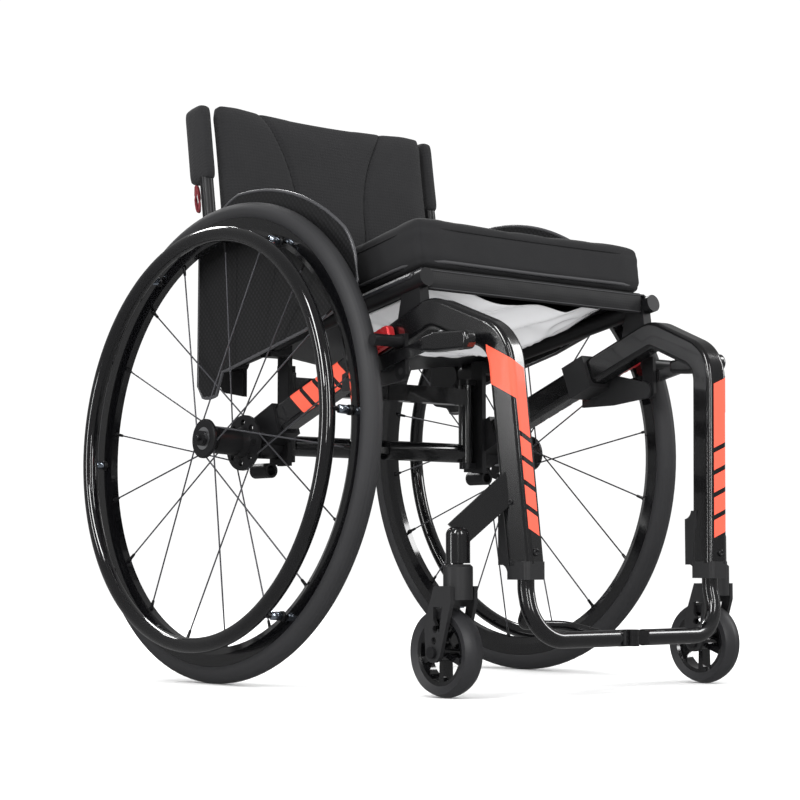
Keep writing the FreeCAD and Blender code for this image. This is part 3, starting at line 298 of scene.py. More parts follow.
def lathe(origin, direction, profile, sides=20):
    """A turned form; profile is (distance along direction, radius)."""
    direction = Vector(direction).normalized()
    first = direction.orthogonal().normalized()
    second = direction.cross(first)
    sections = []
    for reach, radius in profile:
        centre = origin + direction * reach
        sections.append([centre + (first * math.cos(t) + second * math.sin(t)) * radius
                         for t in (2 * math.pi * j / sides for j in range(sides))])
    return rings(sections)


def merged(forms):
    """Several (points, faces) as one."""
    points, faces = [], []
    for more_points, more_faces in forms:
        base = len(points)
        points += more_points
        faces += [tuple(base + i for i in face) for face in more_faces]
    return points, faces


def sheet(columns, rows, place, thick):
    """A closed cloth sheet; place(u, v) with u, v in 0..1 gives a point, thick lies below it."""
    top = [[place(i / columns, j / rows) for i in range(columns + 1)] for j in range(rows + 1)]
    points, faces = [], []
    width = columns + 1
    for row in top:
        points += row
    for j in range(rows + 1):
        for i in range(width):
            left, right = top[j][max(i - 1, 0)], top[j][min(i + 1, columns)]
            near, far = top[max(j - 1, 0)][i], top[min(j + 1, rows)][i]
            normal = (right - left).cross(far - near).normalized()
            points.append(top[j][i] - normal * thick)
    layer = width * (rows + 1)
    for j in range(rows):
        for i in range(columns):
            a = j * width + i
            faces.append((a, a + 1, a + 1 + width, a + width))
            faces.append((layer + a + width, layer + a + 1 + width, layer + a + 1, layer + a))
    edge = list(range(width))
    edge += [j * width + columns for j in range(1, rows + 1)]
    edge += [rows * width + i for i in range(columns - 1, -1, -1)]
    edge += [j * width for j in range(rows - 1, 0, -1)]
    for a, b in zip(edge, edge[1:] + edge[:1]):
        faces.append((b, a, layer + a, layer + b))
    return points, faces


# ---------------------------------------------------------------- stuffed covers

VOXEL = 0.006
FILL_PRESSURE = 4.0
FILL_FRAMES = 20


def applied(obj):
    """Keep the result of the modifiers in the mesh."""
    solid = obj.evaluated_get(bpy.context.evaluated_depsgraph_get())
    mesh = bpy.data.meshes.new_from_object(solid)
    obj.modifiers.clear()
    obj.data = mesh


def remeshed(obj):
    """Even out a closed form into small quads."""
    modifier = obj.modifiers.new("Even", "REMESH")
    modifier.mode = "VOXEL"
    modifier.voxel_size = VOXEL
    applied(obj)


def filled(obj, cap):
    """Swell the cover with cloth simulation; no point moves further than cap."""
    rest = [v.co.copy() for v in obj.data.vertices]
    cloth = obj.modifiers.new("Fill", "CLOTH")
    cloth.settings.use_pressure = True
    cloth.settings.uniform_pressure_force = FILL_PRESSURE
    cloth.settings.effector_weights.gravity = 0
    cloth.point_cache.frame_end = FILL_FRAMES
    for number in range(1, FILL_FRAMES + 1):
        bpy.context.scene.frame_set(number)
    swollen = obj.evaluated_get(bpy.context.evaluated_depsgraph_get())
    moved = [v.co.copy() for v in swollen.data.vertices]
    obj.modifiers.clear()
    for vertex, before, after in zip(obj.data.vertices, rest, moved):
        step = after - before
        if step.length > cap:
            step = step.normalized() * cap
        vertex.co = before + step
    bpy.context.scene.frame_set(1)


def smoothed(obj):
    """One subdivision, kept in the mesh."""
    modifier = obj.modifiers.new("Fine", "SUBSURF")
    modifier.levels = 1
    applied(obj)
    shade_smooth(obj.data)


def stuffed(name, form, cap):
    """A filled cover at the origin, not yet riding on anything."""
    points, faces = form
    mesh = bpy.data.meshes.new(name)
    mesh.from_pydata([tuple(p) for p in points], [], faces)
    obj = link(name, mesh)
    remeshed(obj)
    filled(obj, cap)
    smoothed(obj)
    return obj


def surface(obj):
    """The faces of a mesh, ready for rays."""
    mesh = obj.data
    return BVHTree.FromPolygons([v.co for v in mesh.vertices], [p.vertices for p in mesh.polygons])


EDGE_STEPS = 8
LEAST_CORNER = 0.002


def pad_form(width, depth, tall, corner, edge, bow=None, count=64):
    """A rounded slab about the origin: plan width x depth with round corners, its rims eased by edge."""
    sections = []
    layers = [(-tall / 2 + edge * (1 - math.cos(t)), edge * (1 - math.sin(t)))
              for t in (math.pi / 2 * k / EDGE_STEPS for k in range(EDGE_STEPS + 1))]
    layers += [(-z, inset) for z, inset in reversed(layers)]
    for z, inset in layers:
        plan = outline(width / 2 - inset, depth / 2 - inset, max(corner - inset, LEAST_CORNER), count)
        sections.append([Vector((x, y, z)) for x, y in plan])
    if bow:
        sections = [[bow(p) for p in section] for section in sections]
    return rings(sections)


def outline(half_x, half_y, corner, count):
    """Points round a rounded rectangle, the first on +X."""
    found = []
    for k in range(count):
        turn = 2 * math.pi * k / count
        ray = Vector((math.cos(turn) * half_x, math.sin(turn) * half_y))
        scale = 1 / max(abs(ray.x) / half_x, abs(ray.y) / half_y)
        x, y = ray.x * scale, ray.y * scale
        over_x, over_y = abs(x) - (half_x - corner), abs(y) - (half_y - corner)
        if over_x > 0 and over_y > 0:
            reach = math.hypot(over_x, over_y)
            x = math.copysign(half_x - corner + over_x / reach * corner, x)
            y = math.copysign(half_y - corner + over_y / reach * corner, y)
        found.append((x, y))
    return found


RING_COUNT = 120
RAY_START = 0.05
RAY_CORNER = 0.06


def ring_at(obj, height, lift):
    """A loop round the form at a height of its own space, found by rays from outside."""
    tree = surface(obj)
    half_x = max(abs(v.co.x) for v in obj.data.vertices)
    half_y = max(abs(v.co.y) for v in obj.data.vertices)
    loop = []
    for x, y in outline(half_x + RAY_START, half_y + RAY_START, RAY_CORNER, RING_COUNT):
        start = Vector((x, y, height))
        inward = Vector((-x, -y, 0)).normalized()
        hit = tree.ray_cast(start, inward)[0]
        if hit:
            loop.append(hit - inward * lift)
    return loop


EASE_PASSES = 3


def eased(points):
    """Round off a closed loop of points."""
    for _ in range(EASE_PASSES):
        points = [(points[i - 1] + points[i] * 2 + points[(i + 1) % len(points)]) / 4
                  for i in range(len(points))]
    return points


# ---------------------------------------------------------------- seat cushion

CUSHION_TILT = math.radians(8.6)
CUSHION_DEPTH = 0.396
CUSHION_TAPER = 0.013
CUSHION_TALL = 0.060
CUSHION_CAP = 0.006
CUSHION_SLACK = 0.002
CUSHION_CORNER = 0.014
CUSHION_EDGE = 0.007
CUSHION_WAIST = 0.004
RIM_BAND = 0.020
PIPE_LIFT = 0.007
PIPE_RADIUS = 0.0023
TOP_SEAM_DROP = 0.013
THREAD_RADIUS = 0.0009
RING_LIFT = 0.0004
GROOVE_WIDTH = 0.0028
GROOVE_DEPTH = 0.0014
CREASE_REACH = 0.035
CREASE_DEPTH = 0.0022


def pull_in(half_x, half_y, depth):
    """Sides that draw in between the corners and close up a little towards the rear."""
    def bow(p):
        taper = CUSHION_TAPER / half_x * (p.y / half_y + 1) / 2
        x = p.x * (1 - taper - depth / half_x * (1 - (p.y / half_y) ** 2))
        y = p.y * (1 - depth / half_y * (1 - (p.x / half_x) ** 2))
        return Vector((x, y, p.z))
    return bow


def bell(distance, width):
    """1 at no distance, fading to nothing past the width."""
    return math.exp(-(distance / width) ** 2)


def corner_folds(vertex, half_x, half_y):
    """Small level creases in the cover where its corners turn."""
    away = math.hypot(half_x - abs(vertex.x), half_y - abs(vertex.y))
    strength = bell(away, CREASE_REACH)
    crease = noise.noise(Vector((vertex.x * 9, vertex.y * 9, vertex.z * 90)))
    out = Vector((vertex.x, vertex.y, 0)).normalized()
    return vertex + out * strength * crease * CREASE_DEPTH


def cushion():
    low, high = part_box("seat_cushion")
    half_x = (high.x - low.x) / 2
    half_y = CUSHION_DEPTH / 2
    form = pad_form(2 * (half_x - CUSHION_SLACK), 2 * (half_y - CUSHION_SLACK), CUSHION_TALL - CUSHION_SLACK,
                    CUSHION_CORNER, CUSHION_EDGE, pull_in(half_x, half_y, CUSHION_WAIST))
    pad = stuffed("seat_cushion_cover", form, CUSHION_CAP)
    floor_z = -CUSHION_TALL / 2
    seam_z = floor_z + PIPE_LIFT
    top_z = -floor_z - TOP_SEAM_DROP
    for v in pad.data.vertices:
        co = corner_folds(v.co, half_x, half_y)
        out = Vector((co.x, co.y, 0)).normalized()
        groove = bell(co.z - seam_z, GROOVE_WIDTH) + 0.5 * bell(co.z - top_z, GROOVE_WIDTH)
        rim = max(abs(co.x) - (half_x - RIM_BAND), abs(co.y) - (half_y - RIM_BAND)) > 0
        co = co - out * GROOVE_DEPTH * groove * rim
        co.z = max(co.z, floor_z)
        v.co = co
    space = Matrix.Translation(middle("seat_cushion")) @ Matrix.Rotation(-CUSHION_TILT, 4, "X")
    pieces = []
    for name, height, radius, material in (("seat_cushion_piping", seam_z, PIPE_RADIUS, PIPING),
                                           ("seat_cushion_top_seam", top_z, THREAD_RADIUS, SEAM)):
        loop = eased(ring_at(pad, height, RING_LIFT))
        points, faces = tube(loop, radius, closed=True, sides=8)
        points = [space @ p for p in points]
        pieces.append(make(name, points, faces, material, "right_side", "seat_cloth"))
    pad.data.transform(space)
    pieces.append(hang(pad, FINISHES["seat_cloth"], "right_side", "seat_cloth"))
    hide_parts("seat_cushion")
    for piece in pieces:
        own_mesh(piece)


cushion()


# ---------------------------------------------------------------- seat sling

RAIL_X = 0.190
RAIL_FRONT = (0.320, 0.477)
RAIL_REAR = (-0.070, 0.406)
SLING_FRONT_F = 0.306
SLING_REAR_F = -0.040
SLING_LIFT = 0.0122
WRAP = math.radians(84)
FLAT_SHARE = 0.9
SAG = 0.018
RIPPLE = 0.0022
SLACK_REACH = 0.08
FRONT_LIFT = 0.0025
SLING_THICK = 0.0022


def rail_z(f):
    share = (f - RAIL_REAR[0]) / (RAIL_FRONT[0] - RAIL_REAR[0])
    return RAIL_REAR[1] + share * (RAIL_FRONT[1] - RAIL_REAR[1])


def sling_z(x, f):
    """Height of the cloth between the rails."""
    hang_share = (1 - (x / RAIL_X) ** 2) ** 2
    ripple = noise.noise(Vector((x * 22, f * 9, 3.1))) * RIPPLE
    slack = min(1.0, (SLING_FRONT_F - f) / SLACK_REACH)
    return rail_z(f) + SLING_LIFT + FRONT_LIFT * (1 - slack) + hang_share * slack * (ripple - SAG)


def sling_point(u, v):
    """The cloth from rail to rail, its edges wrapped part of the way round them."""
    f = SLING_FRONT_F + v * (SLING_REAR_F - SLING_FRONT_F)
    s = 2 * u - 1
    if abs(s) <= FLAT_SHARE:
        x = s / FLAT_SHARE * RAIL_X
        return Vector((x, AXLE_Y - f, sling_z(x, f)))
    turn = (abs(s) - FLAT_SHARE) / (1 - FLAT_SHARE) * WRAP
    x = math.copysign(RAIL_X + SLING_LIFT * math.sin(turn), s)
    return Vector((x, AXLE_Y - f, rail_z(f) + SLING_LIFT * math.cos(turn)))


HEM_HALF = 0.177
HEM_TALL = 0.026
HEM_LIFT = 0.0028
HEM_AHEAD = 0.002
HEM_BULGE = 0.003
STITCH_AHEAD = 0.0004
STITCH_RADIUS = 0.0007
STITCH_STEPS = 60


def hem_point(u, v):
    """The folded band across the front, bulging a little between its stitched edges."""
    x = (2 * u - 1) * HEM_HALF
    top = rail_z(SLING_FRONT_F) + SLING_LIFT + HEM_LIFT
    bulge = HEM_BULGE * math.sin(math.pi * v) + 0.0008 * noise.noise(Vector((x * 30, v * 2, 0)))
    return Vector((x, AXLE_Y - SLING_FRONT_F - HEM_AHEAD - bulge, top - v * HEM_TALL))


POUCH_HALF = 0.150
POUCH_FRONT_F, POUCH_REAR_F = 0.296, 0.115
POUCH_DROP = 0.007
POUCH_BELLY, POUCH_FOLD = 0.028, 0.011


def pouch_point(u, v):
    """The crumpled pocket of shiny nylon that hangs under the front of the seat, coloured pale grey as painted
    reflection.
    """
    x = (2 * u - 1) * POUCH_HALF
    f = POUCH_FRONT_F + v * (POUCH_REAR_F - POUCH_FRONT_F)
    belly = (1 - (x / POUCH_HALF) ** 2) * (0.45 + 0.55 * math.sin(math.pi * min(1.0, v * 1.1 + 0.1)))
    drift = noise.noise(Vector((x * 9 + f * 8, f * 30 - x * 8, 1.7)))
    folds = 1.1 - 3.2 * abs(drift) + 0.25 * noise.noise(Vector((x * 30, f * 44, 5.2)))
    drop = POUCH_DROP + belly * (POUCH_BELLY + POUCH_FOLD * folds)
    return Vector((x, AXLE_Y - f, sling_z(x, f) - drop))


def sling():
    cloth = FINISHES["sling_cloth"]
    pieces = [
        make("seat_sling_cloth", *sheet(72, 48, sling_point, SLING_THICK), cloth, "right_side",
             "sling_cloth"),
        make("seat_sling_hem", *sheet(80, 8, hem_point, -0.003), WEBBING, "right_side", "sling_cloth"),
        # pale grey pouch: painted reflection
        make("seat_sling_pouch", *sheet(90, 60, pouch_point, 0.001), PAINTED_REFLECTION_NYLON, "right_side", "sling_cloth"),
    ]
    stitch = []
    for v in (0.1, 0.9):
        line = [hem_point(k / STITCH_STEPS, v) - Vector((0, STITCH_AHEAD, 0))
                for k in range(STITCH_STEPS + 1)]
        stitch.append(tube(line, STITCH_RADIUS, sides=6))
    pieces.append(make("seat_sling_hem_stitch", *merged(stitch), PIPING, "right_side", "sling_cloth"))
    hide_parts("seat_sling")
    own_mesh(pieces[0])
    for piece in pieces[1:]:
        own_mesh(piece)


sling()


# ---------------------------------------------------------------- back upholstery

RECLINE = math.radians(8.5)
POST_X = 0.194
POST_BASE = Vector((0, AXLE_Y + 0.086, 0.419))
PANEL_LOW, PANEL_HIGH = 0.150, 0.350
PANEL_HALF = 0.183
PANEL_THICK = 0.022
PANEL_MIDDLE_Y = -0.006
PANEL_DIP = 0.009
PANEL_SLACK = 0.002
PANEL_CORNER, PANEL_EDGE = 0.016, 0.008
PANEL_CAP = 0.004
SEAM_LOW_X, SEAM_TOP_X = 0.058, 0.112
SEAM_SINK, SEAM_WIDTH = 0.0032, 0.0036
PUFF, PUFF_REACH = 0.0015, 0.020
SEAM_INSET = 0.004
SEAM_STEPS = 48
LEAN = Matrix.Rotation(-RECLINE, 4, "X")
ONTO_SIDE = Matrix(((0, 0, 1, 0), (1, 0, 0, 0), (0, 1, 0, 0), (0, 0, 0, 1)))


def back_space(x, y, z):
    """Local axes of a pad on the leaning back: x across, y up the post, z forward."""
    turn = Matrix(((1, 0, 0, 0), (0, 0, -1, 0), (0, 1, 0, 0), (0, 0, 0, 1)))
    return Matrix.Translation(POST_BASE) @ LEAN @ Matrix.Translation((x, y, z)) @ turn


def seam_x(y, half_y):
    """How far out a sewn seam of the panel runs at a height of the panel."""
    rise = max(0.0, (y + 0.55 * half_y) / (1.5 * half_y))
    return SEAM_LOW_X + (SEAM_TOP_X - SEAM_LOW_X) * rise ** 2.2


def panel():
    half_y = (PANEL_HIGH - PANEL_LOW) / 2

    def dipped(p):
        top_share = max(0.0, p.y / half_y)
        return Vector((p.x, p.y - PANEL_DIP * top_share * (1 - (p.x / PANEL_HALF) ** 2), p.z))

    form = pad_form(2 * (PANEL_HALF - PANEL_SLACK), 2 * (half_y - PANEL_SLACK), PANEL_THICK - 2 * PANEL_SLACK,
                    PANEL_CORNER, PANEL_EDGE, dipped)
    pad = stuffed("back_panel_cover", form, PANEL_CAP)
    for v in pad.data.vertices:
        off = abs(abs(v.co.x) - seam_x(v.co.y, half_y))
        sink = SEAM_SINK * bell(off, SEAM_WIDTH)
        puff = PUFF * (1 - bell(off, PUFF_REACH))
        if v.co.z > 0:
            v.co.z += puff - sink
    space = back_space(0, PANEL_MIDDLE_Y, (PANEL_LOW + PANEL_HIGH) / 2)
    tree = surface(pad)
    seams = []
    for side in (-1, 1):
        line = []
        for k in range(SEAM_STEPS + 1):
            y = -half_y + SEAM_INSET + k / SEAM_STEPS * 2 * (half_y - SEAM_INSET)
            start = Vector((side * seam_x(y, half_y), y, 0.1))
            hit = tree.ray_cast(start, Vector((0, 0, -1)))[0]
            if hit:
                line.append(space @ hit)
        seams.append(tube(line, THREAD_RADIUS, sides=6))
    seam = make("back_panel_seams", *merged(seams), SEAM, "right_back", "back_cloth")
    pad.data.transform(space)
    hang(pad, FINISHES["back_cloth"], "right_back", "back_cloth")
    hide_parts("back_upholstery")
    for piece in (pad, seam):
        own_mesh(piece)


SLEEVE_LOW, SLEEVE_HIGH = 0.232, 0.340
SLEEVE_DEEP, SLEEVE_WIDE = 0.044, 0.020
SLEEVE_Y = 0.008
SLEEVE_CAP = 0.003


def sleeve(tag, side):
    """The padded sleeve that slips over a post, deeper than it is wide."""
    tall = SLEEVE_HIGH - SLEEVE_LOW
    pad = stuffed(f"{tag}_back_sleeve", pad_form(SLEEVE_DEEP, tall, SLEEVE_WIDE, 0.010, 0.008), SLEEVE_CAP)
    centre = Vector((side * POST_X, SLEEVE_Y, (SLEEVE_LOW + SLEEVE_HIGH) / 2))
    pad.data.transform(Matrix.Translation(POST_BASE) @ LEAN @ Matrix.Translation(centre) @ ONTO_SIDE)
    hang(pad, FINISHES["back_cloth"], f"{tag}_back", "back_cloth")


CORD_X, CORD_Y, CORD_Z = POST_X + 0.004, 0.018, 0.214
CORD_DEEP, CORD_TALL = 0.004, 0.018
CORD_STEPS = 16


def pull_cord(tag, side):
    """The flat loop that lets the back down, hanging behind the sleeve."""
    path = []
    for k in range(CORD_STEPS):
        turn = 2 * math.pi * k / CORD_STEPS + math.pi / 2
        local = Vector((side * CORD_X, CORD_Y + CORD_DEEP * math.cos(turn), CORD_Z + CORD_TALL * math.sin(turn)))
        path.append(POST_BASE + (LEAN @ local))
    make(f"{tag}_back_pull_cord", *tube(path, 0.0028, closed=True, sides=8, flat=0.5), CORD,
         f"{tag}_back", "back_cloth")


panel()
for tag, side in SIDES:
    sleeve(tag, side)
    pull_cord(tag, side)


# ---------------------------------------------------------------- coral films on the frame

LEG_TOP = Vector((0.170, -0.429, 0.396))
LEG_FOOT = Vector((0.152, -0.442, 0.147))
TUBE_WIDE, TUBE_DEEP = 0.028, 0.034
FILM_LIFT = 0.0004
FILM_TOP_Z, FILM_NECK_Z, STRIPES_TOP_Z = 0.376, 0.333, 0.295
STRIPE_COUNT = 4
STRIPE_PITCH, STRIPE_GAP = 0.027, 0.006
RUN_REAR_Z = 0.312
RUN_START, RUN_STRIPE = 0.088, 0.020
APEX = Vector((0.184, -0.331, 0.436))


def leg_point(side, z):
    """Middle of the leg tube at a height."""
    share = (z - LEG_FOOT.z) / (LEG_TOP.z - LEG_FOOT.z)
    spot = LEG_FOOT.lerp(LEG_TOP, share)
    return Vector((side * spot.x, AXLE_Y + spot.y, z))


def outer_skin(node):
    """A copy of a hollow tube's mesh without its inner wall."""
    shell = bmesh.new()
    shell.from_mesh(NODES[node].data)
    bmesh.ops.remove_doubles(shell, verts=shell.verts, dist=1e-6)
    shell.normal_update()
    tree = BVHTree.FromBMesh(shell)
    inner = []
    for face in shell.faces:
        start = face.calc_center_median() + face.normal * 1e-5
        if tree.ray_cast(start, face.normal, TUBE_DEEP)[0]:
            inner.append(face)
    bmesh.ops.delete(shell, geom=inner, context="FACES")
    return shell


def clipped(shell, planes):
    """The part of a skin on the positive side of every (point, normal)."""
    part = shell.copy()
    for point, normal in planes:
        everything = part.verts[:] + part.edges[:] + part.faces[:]
        bmesh.ops.bisect_plane(part, geom=everything, plane_co=point, plane_no=normal, clear_inner=True)
    return part


def film(name, patches, body):
    """Patches of a skin, lifted off it, as one thin coloured film."""
    whole = bmesh.new()
    for part in patches:
        part.normal_update()
        for vertex in part.verts:
            vertex.co += vertex.normal * FILM_LIFT
        mesh = bpy.data.meshes.new(name)
        part.to_mesh(mesh)
        whole.from_mesh(mesh)
        bpy.data.meshes.remove(mesh)
        part.free()
    mesh = bpy.data.meshes.new(name)
    whole.to_mesh(mesh)
    whole.free()
    shade_smooth(mesh)
    return hang(link(name, mesh), CORAL_FILM, body, "frame_black")


def leg_film(tag, side):
    """A block of film at the top of the leg, then a band and stripes down its front."""
    shell = outer_skin(f"{tag}_side_frame")
    down = (leg_point(side, LEG_FOOT.z) - leg_point(side, LEG_TOP.z)).normalized()
    across = (ACROSS * side - down * (ACROSS * side).dot(down)).normalized()
    ahead = (AHEAD - down * AHEAD.dot(down)).normalized()
    slope = Vector((-side * 0.5, -0.42, 1)).normalized()

    def between(top_z, low_z):
        return [(leg_point(side, top_z), -slope), (leg_point(side, low_z), slope)]

    spot = leg_point(side, 0.3)
    not_inboard = (spot - across * (TUBE_WIDE / 2 - 0.0045), across)
    not_behind = (spot - ahead * (TUBE_DEEP / 2 - 0.003), ahead)
    front_only = (spot + ahead * (TUBE_DEEP / 2 - 0.0045), ahead)
    not_outboard = (spot + across * (TUBE_WIDE / 2 - 0.006), -across)
    front = [not_inboard, front_only, not_outboard]
    patches = [clipped(shell, between(FILM_TOP_Z, FILM_NECK_Z) + [not_inboard, not_behind]),
               clipped(shell, between(FILM_NECK_Z, STRIPES_TOP_Z + STRIPE_GAP / 2) + front)]
    for step in range(STRIPE_COUNT):
        top = STRIPES_TOP_Z - step * STRIPE_PITCH - STRIPE_GAP / 2
        patches.append(clipped(shell, between(top, top - STRIPE_PITCH + STRIPE_GAP) + front))
    film(f"{tag}_leg_film", patches, f"{tag}_side")
    run_film(tag, side, shell)
    shell.free()


def run_film(tag, side, shell):
    """The short striped film on the outer face of the sloping tube."""
    run = Vector((0, APEX.y, APEX.z - RUN_REAR_Z)).normalized()
    rear = Vector((side * APEX.x, AXLE_Y, RUN_REAR_Z))
    outer = (rear + ACROSS * side * (TUBE_WIDE / 2 - 0.003), ACROSS * side)
    cut = (run + UP * 0.9).normalized()
    patches = []
    for step in range(STRIPE_COUNT):
        start = RUN_START + step * STRIPE_PITCH
        stripe = [(rear + run * start, cut), (rear + run * (start + RUN_STRIPE), -cut)]
        patches.append(clipped(shell, [outer] + stripe))
    film(f"{tag}_run_film", patches, f"{tag}_side")


for tag, side in SIDES:
    leg_film(tag, side)


# ---------------------------------------------------------------- wheel fittings

SPOKES = 18
SPOKE_SHIFT = 5.5
SPOKE_LEAN = 50
RIM_IN = 0.256
TABS = 6
TAB_SHIFT = 35.0
WHEEL_X = 0.246
TYRE_MIDDLE_R, TYRE_ROUND_R = 0.287, 0.013


def wheel_point(side, radius, degrees, reach):
    """A point of a rear wheel: distance from its axle, turn about it and reach outboard."""
    centre = Vector((side * WHEEL_X, AXLE_Y, TYRE_MIDDLE_R * math.cos(CAMBER) + TYRE_ROUND_R))
    axis = wheel_axis(side)
    first = Vector((math.sin(CAMBER), 0, -side * math.cos(CAMBER)))
    turn = math.radians(degrees)
    return centre + (first * math.cos(turn) + Vector((0, 1, 0)) * math.sin(turn)) * radius + axis * reach


def spoke_ends(side, step):
    """Rim end and hub end of a spoke, laced as in the frame."""
    inboard = step % 2 == 0
    rim_angle = 360 / SPOKES * step + SPOKE_SHIFT
    hub_angle = rim_angle + (SPOKE_LEAN if step % 4 < 2 else -SPOKE_LEAN)
    hub_r, reach = (0.0305, -0.028) if inboard else (0.0205, 0.029)
    rim_end = wheel_point(side, RIM_IN, rim_angle, math.copysign(0.0015, reach))
    return rim_end, wheel_point(side, hub_r, hub_angle, reach)


def nipples(tag, side):
    """The stepped nuts at the rim ends of the spokes."""
    forms = []
    for step in range(SPOKES):
        rim_end, hub_end = spoke_ends(side, step)
        inward = (hub_end - rim_end).normalized()
        forms.append(lathe(rim_end - inward * 0.001, inward, [
            (0, 0.0030), (0.003, 0.0030), (0.004, 0.0021), (0.013, 0.0018), (0.014, 0.0012)], sides=10))
    make(f"{tag}_spoke_nipples", *merged(forms), NIPPLE, f"{tag}_wheel", "black_anodised")


def tab_collars(tag, side):
    """Bright barrels on the pushing ring's tabs, with a dark washer against the rim."""
    bright, dark = [], []
    axis = wheel_axis(side)
    for step in range(TABS):
        foot = wheel_point(side, RIM_IN + 0.006, 360 / TABS * step + TAB_SHIFT, 0.0095)
        dark.append(lathe(foot, axis, [(0, 0.0045), (0.001, 0.0062), (0.004, 0.0062), (0.005, 0.0045)]))
        bright.append(lathe(foot + axis * 0.005, axis, [
            (0, 0.0042), (0.001, 0.0052), (0.013, 0.0052), (0.0145, 0.0036)]))
    make(f"{tag}_tab_collars", *merged(bright), CHROME, f"{tag}_wheel", "steel")
    make(f"{tag}_tab_washers", *merged(dark), NIPPLE, f"{tag}_wheel", "black_anodised")


def hub_trim(tag, side):
    """Bright ring by the hub's inboard flange."""
    axis = wheel_axis(side)
    ring_foot = wheel_point(side, 0, 0, -0.0335)
    make(f"{tag}_hub_ring", *lathe(ring_foot, axis, [
        (0, 0.0150), (0.0005, 0.0165), (0.0028, 0.0165), (0.0033, 0.0150)], sides=36), FINISHES["steel"],
        f"{tag}_wheel", "steel")


def screw(origin, direction, radius):
    """A socket screw's round head with its recess."""
    return lathe(origin, direction, [
        (radius * reach, radius * wide)
        for reach, wide in ((0, 1), (0.6, 1), (0.75, 0.85), (0.75, 0.45), (0.3, 0.4))], sides=16)


SCREW_SINK = 0.0005


def frame_screws(tag, side):
    """The screw low on the leg's front, and the one on its outer face."""
    out = ACROSS * side
    forms = [screw(leg_point(side, 0.160) + AHEAD * (TUBE_DEEP / 2 - SCREW_SINK), AHEAD, 0.0042),
             screw(leg_point(side, 0.215) + out * (TUBE_WIDE / 2 - SCREW_SINK), out, 0.0032)]
    make(f"{tag}_leg_screws", *merged(forms), FINISHES["black_anodised"], f"{tag}_side",
         "black_anodised")


BLOCK_X, BLOCK_F, BLOCK_Z = 0.206, 0.254, 0.407
BLOCK_LEAN = math.radians(-17)
RIB_DEPTH, RIB_WAVE = 0.0012, 700


def lock_block(tag, side):
    """The rounded red block over the wheel lock's pivot, ribbed on its outer face."""
    spot = Vector((side * BLOCK_X, AXLE_Y - BLOCK_F, BLOCK_Z))
    lean = Matrix.Rotation(BLOCK_LEAN, 4, "X")
    space = Matrix.Translation(spot) @ lean @ ONTO_SIDE

    def ribs(p):
        groove = RIB_DEPTH * max(0.0, math.cos(p.x * RIB_WAVE)) if p.z * side > 0 else 0
        return Vector((p.x, p.y, p.z - side * groove))

    points, faces = pad_form(0.046, 0.023, 0.0115, 0.006, 0.0028, ribs, 160)
    make(f"{tag}_lock_block", [space @ p for p in points], faces, FINISHES["red_anodised"],
         f"{tag}_side", "red_anodised")


def guard_painted_highlight_bead(tag, side):
    """The smooth bead along the edge of the side guard, traced from the guard's own outline; its lighter grey is
    painted highlight on the guard's edge.
    """
    shell = bmesh.new()
    shell.from_mesh(NODES[f"{tag}_side_guard"].data)
    bmesh.ops.remove_doubles(shell, verts=shell.verts, dist=1e-6)
    outer_x = max(v.co.x * side for v in shell.verts)
    follow = {}
    for edge in shell.edges:
        on_face = all(v.co.x * side > outer_x - 1e-5 for v in edge.verts)
        if on_face and len(edge.link_faces) == 2 and edge.calc_face_angle() > 1.0:
            a, b = edge.verts
            follow.setdefault(a.index, []).append(b.index)
            follow.setdefault(b.index, []).append(a.index)
    shell.verts.ensure_lookup_table()
    start = min(follow)
    loop, previous = [start], None
    while True:
        ahead = [n for n in follow[loop[-1]] if n != previous]
        if not ahead or ahead[0] == start:
            break
        previous = loop[-1]
        loop.append(ahead[0])
    inward = Vector((-side * 0.0012, 0, 0))
    path = [shell.verts[i].co + inward for i in loop]
    shell.free()
    make(f"{tag}_guard_painted_highlight_bead", *tube(path, 0.0022, closed=True, sides=8), EDGE_PAINTED_HIGHLIGHT, f"{tag}_side", "carbon")


for tag, side in SIDES:
    nipples(tag, side)
    tab_collars(tag, side)
    hub_trim(tag, side)
    frame_screws(tag, side)
    lock_block(tag, side)
    guard_painted_highlight_bead(tag, side)


# ---------------------------------------------------------------- studio

FLOOR_REACH = 40.0
SURROUND, GLOSSY_SURROUND = 1.06, 0.18


def studio():
    """A plain white floor that melts into a white surround."""
    half = FLOOR_REACH / 2
    floor_mesh = bpy.data.meshes.new("studio_floor")
    floor_mesh.from_pydata([(-half, -half, 0), (half, -half, 0), (half, half, 0), (-half, half, 0)], [],
                           [(0, 1, 2, 3)])
    floor = link("studio_floor", floor_mesh)
    white = finish("studio_white", (0.97, 0.97, 0.97), 0.8, vary=0.002)
    white.node_tree.nodes["Principled BSDF"].inputs["Specular IOR Level"].default_value = 0.0
    dress(floor, white)
    floor.visible_glossy = False


LAMP_AIM = Vector((0, 0, 0.4))


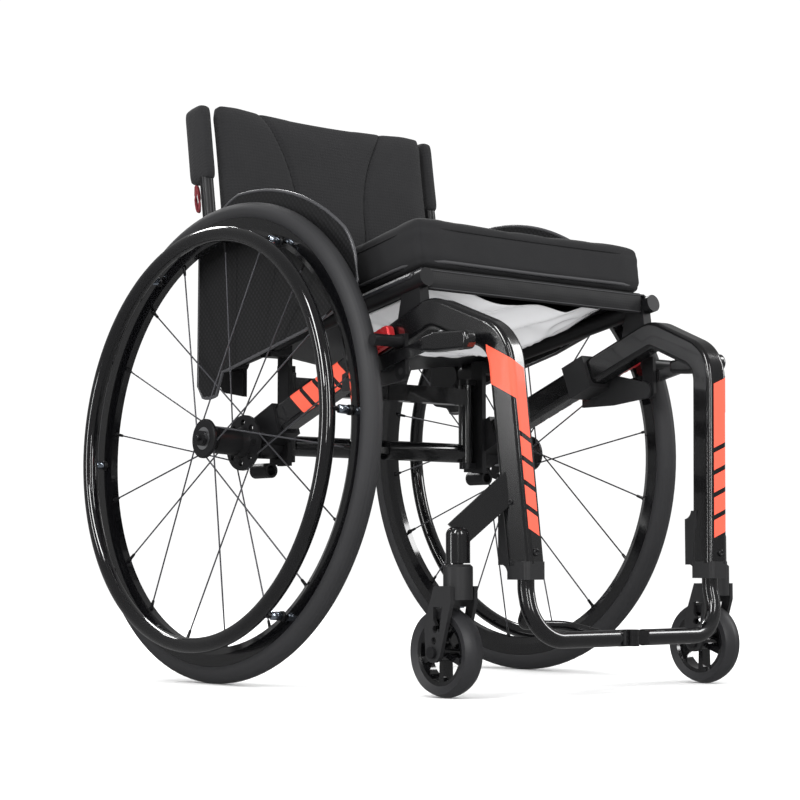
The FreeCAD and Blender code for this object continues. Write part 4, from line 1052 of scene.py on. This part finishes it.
def area_light(name, spot, size, power):
    """A rectangular lamp aimed at the middle of the chair."""
    lamp = bpy.data.lights.new(name, "AREA")
    lamp.shape = "RECTANGLE"
    lamp.size, lamp.size_y = size
    lamp.energy = power
    obj = link(name, lamp)
    obj.location = spot
    obj.rotation_euler = (LAMP_AIM - Vector(spot)).to_track_quat("-Z", "Y").to_euler()


VIEW_YAW = math.radians(40.07)
VIEW_PITCH = math.radians(4.49)
FOCAL_LENGTH, SENSOR_WIDTH = 91.5, 36
EYE = Vector((-1.708, AXLE_Y - 2.076, 0.152))


def camera():
    lens = bpy.data.cameras.new("camera")
    lens.lens = FOCAL_LENGTH
    lens.sensor_width = SENSOR_WIDTH
    lens.clip_end = 50
    obj = link("camera", lens)
    level = math.cos(VIEW_PITCH)
    gaze = Vector((math.sin(VIEW_YAW) * level, math.cos(VIEW_YAW) * level, math.sin(VIEW_PITCH)))
    obj.location = EYE
    obj.rotation_euler = gaze.to_track_quat("-Z", "Y").to_euler()
    bpy.context.scene.camera = obj


def surround():
    """A white world that shiny surfaces see much darker, so that only the lamps draw highlights."""
    world = bpy.data.worlds.new("studio")
    bpy.context.scene.world = world
    world.use_nodes = True
    tree = world.node_tree
    backdrop = tree.nodes["Background"]
    backdrop.inputs["Color"].default_value = (1, 1, 1, 1)
    path = tree.nodes.new("ShaderNodeLightPath")
    dimmer = calculate(tree, "MULTIPLY_ADD", path.outputs["Is Glossy Ray"],
                       GLOSSY_SURROUND - SURROUND, SURROUND)
    tree.links.new(dimmer, backdrop.inputs["Strength"])


def light():
    surround()
    area_light("key", (-2.6, -1.0, 2.6), (0.5, 2.4), 60)
    area_light("front_strip", (-0.4, -3.2, 1.7), (0.35, 2.2), 30)
    area_light("edge_strip", (-2.35, -2.75, 1.25), (0.16, 1.8), 15)
    area_light("side_strip", (-3.2, 0.9, 1.0), (0.3, 1.8), 18)
    area_light("fill", (2.6, -1.4, 1.8), (0.6, 2.0), 30)
    area_light("back", (0.6, 2.4, 2.4), (2.2, 0.5), 40)
    bpy.context.scene.view_settings.view_transform = "Standard"


studio()
camera()
light()
